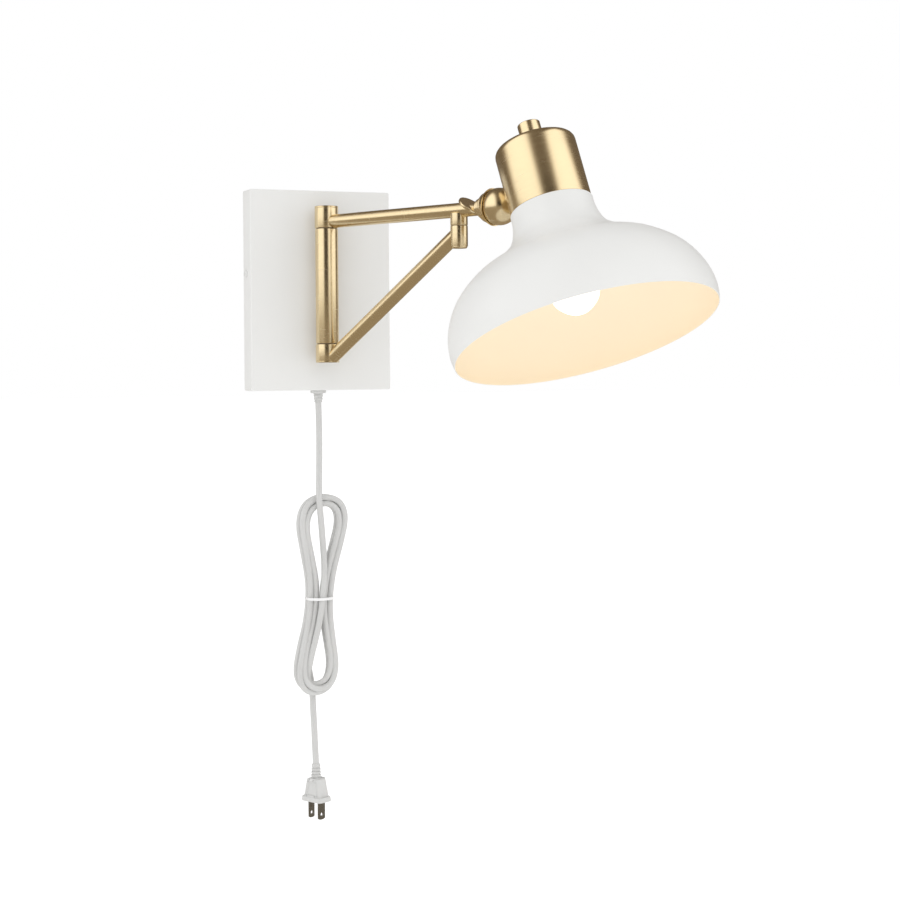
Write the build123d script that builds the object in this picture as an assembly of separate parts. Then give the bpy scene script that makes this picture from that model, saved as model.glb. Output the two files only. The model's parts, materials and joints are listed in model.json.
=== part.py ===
"""Plug-in swing arm wall sconce, in millimetres.

+Z is up and the wall is the XZ plane: the canopy's open back lies on y = 0 and the lamp stands
out along -Y. The origin is the centre of the canopy's back. The arm is built along its own +X
from the barrel's axis, and the lamp head in its own frame at the centre of the knuckle ball,
with +Z up the shade's axis and +X from the ball towards the cup.
"""

from build123d import *
import math
import os

# ---- Canopy: the folded box that covers the wall bracket ----
canopy_width = 130.0
canopy_height = 178.0
canopy_depth = 22.7
canopy_wall = 1.2
canopy_corner = 1.5
canopy_edge = 1.0

# ---- Wall bracket and its fasteners ----
bracket_height = 50.0
bracket_thickness = 1.6
ear_depth = 14.0
wall_screw_spacing = 88.9
wall_screw_slot_length = 12.0
wall_screw_hole = 4.6
side_screw_thread = 4.0
side_screw_head = 7.0
side_screw_head_height = 1.6
side_screw_out = 9.0
side_screw_level = 15.0

# ---- Barrel: the wall hinge ----
pivot_from_canopy = 16.3
barrel_diameter = 20.2
barrel_wall = 2.4
barrel_top = 53.6
barrel_bottom = -47.4
rod_diameter = 8.0
washer_diameter = 18.0
washer_thickness = 0.8
bush_length = 12.0
standoff_level = 31.6
standoff_diameter = 8.6
standoff_screw = 4.0
standoff_screw_head = 8.0
standoff_screw_head_height = 2.6

# ---- Swing arm: two sleeves, a level tube, a sloping brace and the outer joint ----
swing_at_rest = 25.0
sleeve_diameter = 20.8
upper_sleeve_height = 17.8
lower_sleeve_height = 14.6
sleeve_cap_height = 1.6
tube_diameter = 12.0
tube_wall = 1.2
tube_level = 60.0
outer_joint_reach = 158.8
outer_joint_diameter = 14.4
outer_stub_height = 6.6
outer_sleeve_height = 17.4
outer_bolt_diameter = 6.0
outer_bolt_head_step = 0.6
outer_bolt_head_height = 1.6
outer_seal_thickness = 0.4
outer_seal_recess = 0.5
brace_rise_at_foot = 0.2
brace_drop_at_joint = 5.6
tube_overhang = 14.8
end_cut_angle = 52.0
end_disc_diameter = 22.0
end_disc_thickness = 2.4
end_disc_rise = 2.8

# ---- Neck and knuckle ----
neck_diameter = 9.4
neck_collar_diameter = 15.8
neck_collar_length = 3.2
neck_collar_gap = 0.5
ball_diameter = 30.4
knuckle_reach = 203.5
socket_lip = 6.6
socket_wall = 1.3
socket_spigot_diameter = 7.0
socket_foot_diameter = 18.4
socket_groove_diameter = 16.4
socket_band_diameter = 24.4
head_lean_at_rest = -3.4
head_tilt_at_rest = 21.1

# ---- Cup, switch and shade, heights counted from the ball's centre ----
cup_offset = 49.0
cup_diameter = 65.6
cup_wall = 1.4
cup_top = 32.6
cup_bottom = -23.4
cup_corner = 6.0
nipple_diameter = 9.6
saddle_diameter = 15.0
nipple_nut_width = 14.0
nipple_nut_thickness = 3.0
knob_diameter = 18.4
knob_height = 16.4
knob_gap = 1.0
knob_stem_diameter = 6.0
switch_diameter = 24.0
switch_height = 14.0
switch_bush_diameter = 10.0

shade_wall = 0.8
shade_collar_radius = 33.4
shade_collar_drop = 4.5
shade_flare_radius = 39.4
shade_flare_drop = 25.1
shade_shoulder_radius = 53.4
shade_shoulder_drop = 37.1
shade_waist_radius = 79.0
shade_waist_drop = 50.9
shade_side_radius = 96.0
shade_side_drop = 67.5
shade_bulge_radius = 106.4
shade_bulge_drop = 102.5
shade_mouth_radius = 105.2
shade_mouth_drop = 109.7
shade_seat_hole = 40.0

# ---- Lamp holder and bulb ----
holder_diameter = 38.0
holder_wall = 3.0
holder_top = 3.0
holder_bottom = -49.0
ring_diameter = 55.0
ring_height = 8.0
screw_shell_wall = 0.5
holder_roof = 6.0
screw_shell_drop = 8.0
screw_shell_clearance = 1.5
contact_height = 9.4
lamp_cap_diameter = 26.0
lamp_cap_height = 24.0
bulb_diameter = 40.0
bulb_neck_diameter = 27.0
bulb_wall = 0.9
bulb_tip = -117.6

# ---- Cord, hank and plug ----
cord_diameter = 5.5
gland_flange_diameter = 14.0
gland_flange_height = 2.6
gland_taper_length = 8.0
gland_body_diameter = 10.0
gland_hole_clearance = 0.2
hank_top = -181.0
hank_bottom = -363.0
hank_waist = -275.5
hank_waist_width = 21.5
hank_waist_centre = -0.8
hank_depth = 13.0
hank_upper_centre = 3.0
hank_upper_width = 49.0
hank_lower_centre = -4.0
hank_lower_width = 42.0
hank_strand_width = 10.5
tie_height = 4.0
tie_thickness = 1.2
plug_turn = -64.0
plug_flange_width = 25.5
plug_flange_depth = 17.0
plug_flange_height = 4.4
plug_body_top_width = 14.5
plug_body_top_depth = 12.5
plug_body_height = 15.6
plug_relief_top_diameter = 7.4
plug_relief_diameter = 9.0
plug_relief_length = 13.0
blade_spacing = 12.7
blade_width = 6.35
blade_thickness = 1.5
blade_length = 15.9
blade_hole = 3.0

# ---- Clearances ----
running_fit = 0.05
free_gap = 0.3
soft_gap = 0.3

# ---- Places worked out from the sizes above ----
canopy_front = -canopy_depth
pivot_y = -(canopy_depth + pivot_from_canopy)
rod_top = barrel_top + washer_thickness + upper_sleeve_height
rod_bottom = barrel_bottom - washer_thickness - lower_sleeve_height
upper_sleeve_foot = barrel_top + washer_thickness
lower_sleeve_head = barrel_bottom - washer_thickness
outer_stub_top = tube_level - tube_diameter / 2
outer_bolt_top = outer_stub_top - 2.0
outer_seam = outer_stub_top - outer_stub_height
outer_foot = outer_seam - outer_sleeve_height
brace_foot = rod_bottom - sleeve_cap_height + brace_rise_at_foot
gland_y = -canopy_depth / 2
gland_exit_z = -canopy_height / 2 - gland_flange_height - gland_taper_length

arm_place = Location((0, pivot_y, 0), (0, 0, swing_at_rest - 90))
swivel_place = arm_place * Location((knuckle_reach, 0, tube_level), (head_lean_at_rest, 0, 0))
head_place = swivel_place * Location((0, 0, 0), (0, -head_tilt_at_rest, 0))
cup_place = head_place * Location((cup_offset, 0, 0))
shade_top = cup_bottom
tube_end_slant = tube_diameter / 2 * math.tan(math.radians(end_cut_angle))
tube_end_lowest = outer_joint_reach + tube_overhang + tube_end_slant
neck_collar_start = tube_end_lowest + neck_collar_gap
neck_collar_end = neck_collar_start + neck_collar_length
mouth_direction = Vector(-0.33, 0, -1).normalized()
bulb_seat = holder_top - holder_roof - contact_height - running_fit

# The cord's route, chosen by hand, from the gland's tip to the hank and from the hank to the plug.
upper_route = [
    (0.0, gland_y, gland_exit_z),
    (0.9, gland_y - 0.1, -122.0),
    (1.3, gland_y + 0.2, -143.0),
    (0.4, gland_y + 0.1, -163.0),
    (-0.2, gland_y, hank_top),
]
lower_route = [
    (-7.4, gland_y, hank_bottom),
    (-6.6, gland_y - 0.1, -377.0),
    (-6.2, gland_y + 0.1, -393.0),
    (-5.6, gland_y + 0.1, -409.0),
    (-5.2, gland_y, -424.0),
]
plug_x = lower_route[-1][0]
plug_top = lower_route[-1][2]

nodes = {}


def keep(name, shape):
    """Store a finished piece under its node's name."""
    shape.label = name
    nodes[name] = shape


def rod(radius, start, end):
    """A round bar between two points."""
    run = Vector(*end) - Vector(*start)
    bar = Cylinder(radius, run.length, align=(Align.CENTER, Align.CENTER, Align.MIN))
    return Plane(origin=start, z_dir=run) * bar


def pipe(outer_radius, inner_radius, start, end):
    """A round tube between two points, open at both ends."""
    reach = (Vector(*end) - Vector(*start)).normalized() * 1.0
    inner_start = Vector(*start) - reach
    inner_end = Vector(*end) + reach
    return rod(outer_radius, start, end) - rod(inner_radius, tuple(inner_start), tuple(inner_end))


def ring(outer_radius, inner_radius, low, high):
    """An upright ring about the Z axis from one height to another."""
    return pipe(outer_radius, inner_radius, (0, 0, low), (0, 0, high))


def turned(*outline):
    """A solid of revolution about Z from (radius, height) points."""
    points = [(radius, 0, height) for radius, height in outline]
    return revolve(make_face(Polyline(*points, close=True)), Axis.Z)


def box_between(low, high):
    """A box from its lowest to its highest corner."""
    size = [b - a for a, b in zip(low, high)]
    return Pos(*low) * Box(*size, align=(Align.MIN, Align.MIN, Align.MIN))


def group(shapes):
    """Like pieces kept together as separate solids."""
    return Compound(children=[solid for shape in shapes for solid in shape.solids()])


# ---------------------------------------------------------------- canopy and bracket

def canopy():
    """The white cover: a shallow box with a rounded rim, open at the wall."""
    outer = box_between(
        (-canopy_width / 2, canopy_front, -canopy_height / 2),
        (canopy_width / 2, 0, canopy_height / 2),
    )
    outer = fillet(outer.edges().filter_by(Axis.Y), canopy_corner)
    outer = fillet(outer.faces().sort_by(Axis.Y)[0].edges(), canopy_edge)
    inner = box_between(
        (-canopy_width / 2 + canopy_wall, canopy_front + canopy_wall, -canopy_height / 2 + canopy_wall),
        (canopy_width / 2 - canopy_wall, 1, canopy_height / 2 - canopy_wall),
    )
    inner = fillet(inner.edges().filter_by(Axis.Y), canopy_corner - canopy_wall)
    shell = outer - inner
    hole = gland_body_diameter / 2 + gland_hole_clearance
    shell -= rod(hole, (0, gland_y, -canopy_height / 2 - 1), (0, gland_y, -canopy_height / 2 + 3))
    for level in (standoff_level, -standoff_level):
        screw_hole = standoff_screw / 2 + running_fit
        shell -= rod(screw_hole, (0, canopy_front - 1, level), (0, canopy_front + 3, level))
    for side in (-1, 1):
        inside = side * (canopy_width / 2 - 4)
        outside = side * (canopy_width / 2 + 1)
        side_hole = side_screw_thread / 2 + gland_hole_clearance
        start = (inside, -side_screw_out, side_screw_level)
        end = (outside, -side_screw_out, side_screw_level)
        shell -= rod(side_hole, start, end)
    return shell


def wall_bracket():
    """The steel plate that is screwed to the wall, with an ear bent out at each end."""
    half = canopy_width / 2 - canopy_wall - free_gap
    high = bracket_height / 2
    plate = box_between((-half, -bracket_thickness, -high), (half, 0, high))
    slot = Rot(90, 0, 0) * extrude(
        SlotOverall(wall_screw_slot_length, wall_screw_hole), bracket_thickness * 4, both=True
    )
    for side in (-1, 1):
        face = side * half
        near = min(face, face - side * bracket_thickness)
        plate += box_between((near, -ear_depth, -high), (near + bracket_thickness, 0, high))
        plate -= Pos(side * wall_screw_spacing / 2, 0, 0) * slot
        inside = (side * (half - bracket_thickness - 1), -side_screw_out, side_screw_level)
        outside = (side * (half + 1), -side_screw_out, side_screw_level)
        plate -= rod(side_screw_thread / 2, inside, outside)
    return plate


def side_screws():
    """The two screws that hold the canopy on the bracket's ears."""
    half = canopy_width / 2
    crown = half + side_screw_head_height
    shank = rod(side_screw_thread / 2, (half - 8, 0, 0), (half, 0, 0))
    head = rod(side_screw_head / 2, (half, 0, 0), (crown, 0, 0))
    head = fillet(head.edges().sort_by(Axis.X)[-1], 0.6)
    slot = box_between((crown - 0.7, -0.45, -4), (crown + 1, 0.45, 4))
    screw = Pos(0, -side_screw_out, side_screw_level) * (shank + head - slot)
    return group([screw, mirror(screw, Plane.YZ)])


def wire_connectors():
    """Two twist-on connectors that join the cord to the lead inside the canopy."""
    cone = turned((0, 0), (4.2, 0), (5.2, 3), (3.6, 17), (2.6, 19), (0, 19))
    places = [Location((-22, -12, -52), (0, 0, 0)), Location((22, -12, -52), (0, 0, 0))]
    return group([place * cone for place in places])


def cord_gland():
    """The bushing in the canopy's floor, with a tapered boot round the cord."""
    floor = -canopy_height / 2
    body = gland_body_diameter / 2
    flange = gland_flange_diameter / 2
    cord = cord_diameter / 2
    outline = [
        (cord, floor + 6), (body, floor + 6), (body, floor), (flange, floor),
        (flange, floor - gland_flange_height + 0.6), (flange - 0.6, floor - gland_flange_height),
        (body - 0.6, floor - gland_flange_height), (cord + 0.9, gland_exit_z), (cord, gland_exit_z),
    ]
    gland = turned(*outline)
    return Pos(0, gland_y, 0) * gland


def gland_nut():
    """The nut that holds the gland from inside the canopy."""
    floor = -canopy_height / 2 + canopy_wall
    body = gland_body_diameter / 2 + running_fit
    hexagon = extrude(RegularPolygon(8.0, 6), 2.8)
    return Pos(0, gland_y, floor) * (hexagon - Cylinder(body, 20))


def inner_cord():
    """The end of the cord inside the canopy, up from the gland."""
    start = (0, gland_y, gland_exit_z)
    return rod(cord_diameter / 2, start, (0, gland_y, -canopy_height / 2 + 24))


# ---------------------------------------------------------------- wall hinge

def barrel_tube():
    """The fixed middle tube of the wall hinge."""
    inner = barrel_diameter / 2 - barrel_wall
    tube = ring(barrel_diameter / 2, inner, barrel_bottom, barrel_top)
    for level in (standoff_level, -standoff_level):
        tube -= rod(standoff_screw / 2, (0, 0, level), (0, barrel_diameter, level))
    return Pos(0, pivot_y, 0) * tube


def hinge_bush(end, inward):
    """A flangeless bush pressed into one end of the barrel, which centres the rod."""
    outer = barrel_diameter / 2 - barrel_wall
    return Pos(0, pivot_y, 0) * ring(outer, rod_diameter / 2, *sorted((end, end + inward * bush_length)))


def hinge_rod():
    """The steel rod through the whole barrel."""
    return rod(rod_diameter / 2, (0, pivot_y, rod_bottom), (0, pivot_y, rod_top))


def thrust_washer(low):
    """The nylon washer that an arm sleeve turns on."""
    inner = rod_diameter / 2 + running_fit
    return Pos(0, pivot_y, 0) * ring(washer_diameter / 2, inner, low, low + washer_thickness)


def standoff(level):
    """A turned spacer between canopy and barrel, saddled to the barrel's curve."""
    start = (0, canopy_front, level)
    spacer = pipe(standoff_diameter / 2, standoff_screw / 2, (0, pivot_y, level), start)
    return spacer - rod(barrel_diameter / 2, (0, pivot_y, level - 20), (0, pivot_y, level + 20))


def standoff_screws():
    """The two screws that come through the canopy and the spacers into the barrel."""
    screws = []
    inner_face = canopy_front + canopy_wall
    tip = pivot_y + barrel_diameter / 2 - barrel_wall + 0.4
    for level in (standoff_level, -standoff_level):
        head_end = inner_face + standoff_screw_head_height
        screw = rod(standoff_screw / 2, (0, tip, level), (0, inner_face, level))
        screw += rod(standoff_screw_head / 2, (0, inner_face, level), (0, head_end, level))
        screw -= box_between((-3, head_end - 1, level - 0.5), (3, head_end + 1, level + 0.5))
        screws.append(screw)
    return group(screws)


# ---------------------------------------------------------------- swing arm

def arm_sleeve(low, high):
    """A sleeve of the arm that turns on the hinge rod."""
    return arm_place * ring(sleeve_diameter / 2, rod_diameter / 2 + running_fit, low, high)


def sleeve_cap(face, outward):
    """The disc that closes a sleeve over the rod's end, with a broken edge."""
    radius = sleeve_diameter / 2
    disc = turned(
        (0, 0), (radius, 0), (radius, sleeve_cap_height - 0.5),
        (radius - 0.5, sleeve_cap_height), (0, sleeve_cap_height),
    )
    if outward < 0:
        disc = Rot(180, 0, 0) * disc
    return arm_place * (Pos(0, 0, face) * disc)


def sleeve_bar():
    """A bar as wide as a sleeve, used to cut the arm's tubes to the sleeve's curve."""
    return rod(sleeve_diameter / 2, (0, 0, rod_bottom - 20), (0, 0, rod_top + 20))


def end_plane():
    """The slanted plane in which the level tube is cut off, facing up and out."""
    slope = math.radians(end_cut_angle)
    normal = (math.cos(slope), 0, math.sin(slope))
    return Plane(origin=(outer_joint_reach + tube_overhang, 0, tube_level), z_dir=normal)


def level_tube():
    """The level tube from the upper sleeve out past the outer joint, cut off on a slant."""
    far = outer_joint_reach + tube_overhang + tube_diameter
    outer = rod(tube_diameter / 2, (0, 0, tube_level), (far, 0, tube_level))
    inner = rod(tube_diameter / 2 - tube_wall, (0, 0, tube_level), (far + 1, 0, tube_level))
    tube = outer - inner - sleeve_bar()
    cutter = end_plane() * Box(60, 60, 60, align=(Align.CENTER, Align.CENTER, Align.MIN))
    return arm_place * (tube - cutter)


def brace_ends():
    """Where the brace's centre line starts and ends, in the arm's frame."""
    top = outer_seam - brace_drop_at_joint
    return (0, 0, brace_foot), (outer_joint_reach, 0, top)


def brace_tube():
    """The sloping tube up to the outer joint, trimmed level with the lower sleeve's foot."""
    foot, top = brace_ends()
    outer = rod(tube_diameter / 2, foot, top)
    inner = rod(tube_diameter / 2 - tube_wall, foot, top)
    joint = rod(outer_joint_diameter / 2, (outer_joint_reach, 0, 0), (outer_joint_reach, 0, tube_level))
    below = Pos(0, 0, rod_bottom - sleeve_cap_height) * Box(
        outer_joint_reach, sleeve_diameter, tube_level, align=(Align.CENTER, Align.CENTER, Align.MAX)
    )
    return arm_place * (outer - inner - sleeve_bar() - joint - below)


def outer_stub():
    """The short upper half of the outer joint, cut to sit under the level tube."""
    bar = rod(
        outer_joint_diameter / 2,
        (outer_joint_reach, 0, outer_seam), (outer_joint_reach, 0, tube_level - 1),
    )
    bar -= rod(tube_diameter / 2, (0, 0, tube_level), (outer_joint_reach + 40, 0, tube_level))
    bore = rod(outer_bolt_diameter / 2, (outer_joint_reach, 0, 0), (outer_joint_reach, 0, outer_bolt_top))
    return arm_place * (bar - bore)


def outer_sleeve():
    """The lower half of the outer joint, which carries the brace."""
    start = (outer_joint_reach, 0, outer_foot)
    end = (outer_joint_reach, 0, outer_seam - outer_seal_thickness)
    return arm_place * pipe(outer_joint_diameter / 2, outer_bolt_diameter / 2, start, end)


def outer_seal():
    """The thin recessed washer that shows as a dark line between the joint's halves."""
    start = (outer_joint_reach, 0, outer_seam - outer_seal_thickness)
    end = (outer_joint_reach, 0, outer_seam)
    radius = outer_joint_diameter / 2 - outer_seal_recess
    return arm_place * pipe(radius, outer_bolt_diameter / 2, start, end)


def outer_bolt():
    """The bolt up through the outer joint, with a low round head."""
    head = outer_foot - outer_bolt_head_height
    shank = rod(outer_bolt_diameter / 2, (0, 0, outer_foot), (0, 0, outer_bolt_top))
    crown = rod(outer_joint_diameter / 2 - outer_bolt_head_step, (0, 0, head), (0, 0, outer_foot))
    crown = fillet(crown.edges().sort_by(Axis.Z)[0], 0.8)
    return arm_place * (Pos(outer_joint_reach, 0, 0) * (shank + crown))


def end_disc():
    """The slanted disc that closes the level tube and carries the neck."""
    radius = end_disc_diameter / 2
    disc = Cylinder(radius, end_disc_thickness, align=(Align.CENTER, Align.CENTER, Align.MIN))
    disc = fillet(disc.edges(), end_disc_thickness / 4)
    return arm_place * (end_plane() * (Pos(-end_disc_rise, 0, 0) * disc))


def neck():
    """The turned neck between the slanted disc and the knuckle, ending in a collar and a spigot."""
    spigot_end = knuckle_reach - ball_diameter / 2 - free_gap * 2
    stem = neck_diameter / 2
    collar = neck_collar_diameter / 2
    spigot = socket_spigot_diameter / 2
    edge = 0.8
    outline = [
        (0, outer_joint_reach), (stem, outer_joint_reach), (stem, neck_collar_start),
        (collar - edge, neck_collar_start), (collar, neck_collar_start + edge),
        (collar, neck_collar_end - edge), (collar - edge, neck_collar_end),
        (spigot, neck_collar_end), (spigot, spigot_end), (0, spigot_end),
    ]
    body = Pos(0, 0, tube_level) * (Rot(0, 90, 0) * turned(*outline))
    behind = Cylinder(
        end_disc_diameter / 2, tube_level, align=(Align.CENTER, Align.CENTER, Align.MAX)
    )
    behind = end_plane() * (Pos(-end_disc_rise, 0, end_disc_thickness) * behind)
    return arm_place * (body - behind)


def arm_lead():
    """The twin lead that runs inside the level tube to the lamp."""
    start = (sleeve_diameter / 2 + 1, 0, tube_level)
    end = (outer_joint_reach - 4, 0, tube_level)
    return arm_place * rod(2.4, start, end)


# ---------------------------------------------------------------- knuckle

def knuckle_socket():
    """The ringed socket that turns on the neck's spigot and holds the ball."""
    back = neck_collar_end - knuckle_reach
    inner = ball_diameter / 2 + free_gap
    outer = inner + socket_wall
    bore = socket_spigot_diameter / 2 + running_fit
    foot = socket_foot_diameter / 2
    groove = socket_groove_diameter / 2
    band = socket_band_diameter / 2
    outline = [
        (bore, back + running_fit), (foot - 0.8, back + running_fit), (foot, back + 0.8), (foot, back + 1.8),
        (groove, back + 2.4), (groove, back + 3.2), (band - 1.4, back + 3.8), (band, back + 5.0),
        (band, back + 6.2), (band - 1, back + 6.8), (band - 1, -socket_lip), (bore, -socket_lip),
    ]
    rings = Rot(0, 90, 0) * turned(*outline)
    lip = Rot(0, 90, 0) * Cylinder(40, 40, align=(Align.CENTER, Align.CENTER, Align.MIN))
    shell = Sphere(outer) - Pos(-socket_lip, 0, 0) * lip
    socket = (rings + shell) - Sphere(inner)
    spigot_hole = rod(bore, (-40, 0, 0), (0, 0, 0))
    return swivel_place * (socket - spigot_hole)


def knuckle_ball():
    """The ball, with the flat saddle that seats against the cup's side."""
    radius = ball_diameter / 2
    ball = Sphere(radius)
    saddle = rod(saddle_diameter / 2, (0, 0, 0), (cup_offset - cup_diameter / 2 + 4, 0, 0))
    ball += saddle
    ball -= rod(cup_diameter / 2, (cup_offset, 0, -60), (cup_offset, 0, 60))
    ball -= rod(nipple_diameter / 2, (4, 0, 0), (60, 0, 0))
    return head_place * ball


def ball_nipple():
    """The threaded nipple from the ball into the cup, hollow for the lead."""
    start = (4, 0, 0)
    end = (cup_offset - cup_diameter / 2 + cup_wall + nipple_nut_thickness + 2.5, 0, 0)
    return head_place * pipe(nipple_diameter / 2, nipple_diameter / 2 - 1.4, start, end)


def nipple_nut():
    """The nut that clamps the nipple inside the cup."""
    face = cup_offset - cup_diameter / 2 + cup_wall + 1.0
    hexagon = extrude(RegularPolygon(nipple_nut_width / 2, 6), nipple_nut_thickness)
    nut = hexagon - Cylinder(nipple_diameter / 2, 20)
    return head_place * (Pos(face, 0, 0) * (Rot(0, 90, 0) * nut))


# ---------------------------------------------------------------- cup, switch and knob

def switch_cup():
    """The round cup over the lamp holder, with a rounded top and an open foot."""
    radius = cup_diameter / 2
    outer = Pos(0, 0, cup_bottom) * Cylinder(
        radius, cup_top - cup_bottom, align=(Align.CENTER, Align.CENTER, Align.MIN)
    )
    outer = fillet(outer.edges().sort_by(Axis.Z)[-1], cup_corner)
    inner = Pos(0, 0, cup_bottom - 1) * Cylinder(
        radius - cup_wall, cup_top - cup_bottom + 1 - cup_wall, align=(Align.CENTER, Align.CENTER, Align.MIN)
    )
    inner = fillet(inner.edges().sort_by(Axis.Z)[-1], cup_corner - cup_wall)
    cup = outer - inner
    cup -= rod(switch_bush_diameter / 2, (0, 0, cup_top - 10), (0, 0, cup_top + 5))
    cup -= rod(nipple_diameter / 2, (-radius - 5, 0, 0), (-radius + 10, 0, 0))
    return cup_place * cup


def rotary_switch():
    """The turn switch under the cup's top, with its threaded bush."""
    top = cup_top - cup_wall
    body = rod(switch_diameter / 2, (0, 0, top - switch_height), (0, 0, top))
    bush = rod(switch_bush_diameter / 2, (0, 0, top), (0, 0, cup_top + knob_gap - free_gap))
    bore = rod(knob_stem_diameter / 2 + running_fit, (0, 0, top - switch_height / 2), (0, 0, cup_top + 20))
    return cup_place * (body + bush - bore)


def switch_knob():
    """The plain round knob on the cup's top, with a narrow foot and a soft edge."""
    foot = cup_top + knob_gap
    top = foot + knob_height
    radius = knob_diameter / 2
    outline = [
        (0, foot), (radius - 2.0, foot), (radius - 2.0, foot + 1.6), (radius, foot + 3.0),
        (radius, top - 0.8), (radius - 0.8, top), (0, top),
    ]
    return cup_place * turned(*outline)


def knob_stem():
    """The switch's shaft, which the knob is pressed on."""
    low = cup_top - cup_wall - switch_height / 2 + free_gap
    return cup_place * rod(knob_stem_diameter / 2, (0, 0, low), (0, 0, cup_top + knob_gap))


# ---------------------------------------------------------------- shade and lamp holder

def shade_line(inset):
    """The shade's outline from collar to rolled-in mouth, moved inwards by a distance."""
    drops = [
        (shade_collar_radius, shade_collar_drop), (shade_flare_radius, shade_flare_drop),
        (shade_shoulder_radius, shade_shoulder_drop), (shade_waist_radius, shade_waist_drop),
        (shade_side_radius, shade_side_drop), (shade_bulge_radius, shade_bulge_drop),
        (shade_mouth_radius, shade_mouth_drop),
    ]
    outer = [Vector(radius, 0, shade_top - drop) for radius, drop in drops]
    before = [outer[0] + Vector(0, 0, 1)] + outer[:-1]
    after = outer[1:] + [outer[-1] + mouth_direction]
    line = []
    for back, here, ahead in zip(before, outer, after):
        along = ((here - back).normalized() + (ahead - here).normalized()).normalized()
        line.append(here + Vector(along.Z, 0, -along.X) * inset)
    return Spline(*line, tangents=[(0, 0, -1), mouth_direction])


def shade():
    """The spun metal shade: collar, flare, round shoulder and a mouth that turns in a little."""
    outer = shade_line(0)
    inner = shade_line(shade_wall)
    rim = Line(outer @ 1, inner @ 1)
    hole = shade_seat_hole / 2
    lid = Polyline(
        inner @ 0, (shade_collar_radius - shade_wall, 0, shade_top - shade_wall),
        (hole, 0, shade_top - shade_wall), (hole, 0, shade_top),
        (shade_collar_radius, 0, shade_top), outer @ 0,
    )
    section = make_face([*outer.edges(), *rim.edges(), *inner.edges(), *lid.edges()])
    return cup_place * revolve(section, Axis.Z)


def lamp_holder():
    """The moulded lamp holder, from inside the cup down through the shade's top."""
    radius = holder_diameter / 2
    holder = rod(radius, (0, 0, holder_bottom), (0, 0, holder_top))
    bore = radius - holder_wall
    holder -= rod(bore, (0, 0, holder_bottom - 1), (0, 0, holder_top - holder_roof))
    return cup_place * holder


def screw_shell():
    """The brass screw shell inside the holder."""
    outer = holder_diameter / 2 - holder_wall - screw_shell_clearance
    lid = holder_top - screw_shell_drop
    inner = outer - screw_shell_wall
    cup = turned(
        (4, lid), (outer, lid), (outer, holder_bottom + 4), (inner, holder_bottom + 4),
        (inner, lid - screw_shell_wall), (4, lid - screw_shell_wall),
    )
    return cup_place * cup


def centre_contact():
    """The sprung contact at the holder's base."""
    high = holder_top - 6
    tip = high - contact_height
    return cup_place * turned((0, tip), (2, tip), (3, tip + 1.4), (3, high), (0, high))


def shade_ring():
    """The ring that clamps the shade up against the cup."""
    top = shade_top - shade_wall
    outer = ring_diameter / 2
    inner = holder_diameter / 2
    collar = turned(
        (inner, top), (outer, top), (outer, top - 2.4), (inner + 4, top - 3.4),
        (inner + 3, top - ring_height), (inner, top - ring_height),
    )
    return cup_place * collar


def bulb_cap():
    """The bulb's screw cap."""
    low = bulb_seat - lamp_cap_height
    radius = lamp_cap_diameter / 2
    outline = [(0, low), (radius - 0.3, low)]
    turns = 5
    pitch = lamp_cap_height * 0.7 / turns
    for turn in range(turns):
        start = low + 2 + turn * pitch
        outline += [(radius - 0.9, start), (radius - 0.1, start + pitch / 2)]
    top = bulb_seat
    outline += [(radius - 0.9, low + 2 + turns * pitch), (4.5, top - 1.5), (4.5, top), (0, top)]
    return cup_place * turned(*outline)


def bulb_body(inset):
    """The bulb's pear shape, moved inwards by a distance."""
    radius = bulb_diameter / 2 - inset
    throat = bulb_neck_diameter / 2 - 2.5 - inset
    collar = bulb_seat - lamp_cap_height
    centre = bulb_tip + bulb_diameter / 2
    angle = math.radians(52)
    shoulder = (radius * math.sin(angle), 0, centre + radius * math.cos(angle))
    tip = (0, 0, centre - radius)
    side = Spline(
        (throat, 0, collar), shoulder,
        tangents=[(0.15, 0, -1), (math.cos(angle), 0, -math.sin(angle))],
    )
    dome = ThreePointArc(shoulder, (radius, 0, centre), tip)
    rest = Polyline(tip, (0, 0, collar), (throat, 0, collar))
    return revolve(make_face([*side.edges(), *dome.edges(), *rest.edges()]), Axis.Z)


def bulb_glass():
    """The thin pear-shaped glass."""
    return cup_place * (bulb_body(0) - bulb_body(bulb_wall))


# ---------------------------------------------------------------- cord, hank and plug

def cord_tube(name, route):
    """A cord solid along its route: straight runs joined by tangent arcs as large as they allow."""
    points = [Vector(*point) for point in route]
    radii = []
    for before, here, after in zip(points, points[1:], points[2:]):
        turn = math.radians((here - before).get_angle(after - here))
        shorter = min((here - before).length, (after - here).length)
        radii.append(0.45 * shorter / math.tan(turn / 2))
    path = FilletPolyline(*points, radius=radii)
    start = Plane(origin=points[0], z_dir=points[1] - points[0])
    tube = sweep(start * Circle(cord_diameter / 2), path=path)
    section = math.pi * cord_diameter ** 2 / 4
    length = sum(edge.length for edge in path.edges())
    print(name, "length", round(length, 1), "radii", [round(radius) for radius in radii],
          "volume ratio", round(tube.volume / (section * length), 4))
    return tube


def teardrop(centre_x, centre_z, radius, waist_radius):
    """A round loop end joined by straight sides to a smaller round at the hank's waist."""
    loop = Pos(centre_x, centre_z) * Circle(radius)
    waist = Pos(hank_waist_centre, hank_waist) * Circle(waist_radius)
    return make_hull(loop.edges() + waist.edges())


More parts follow.
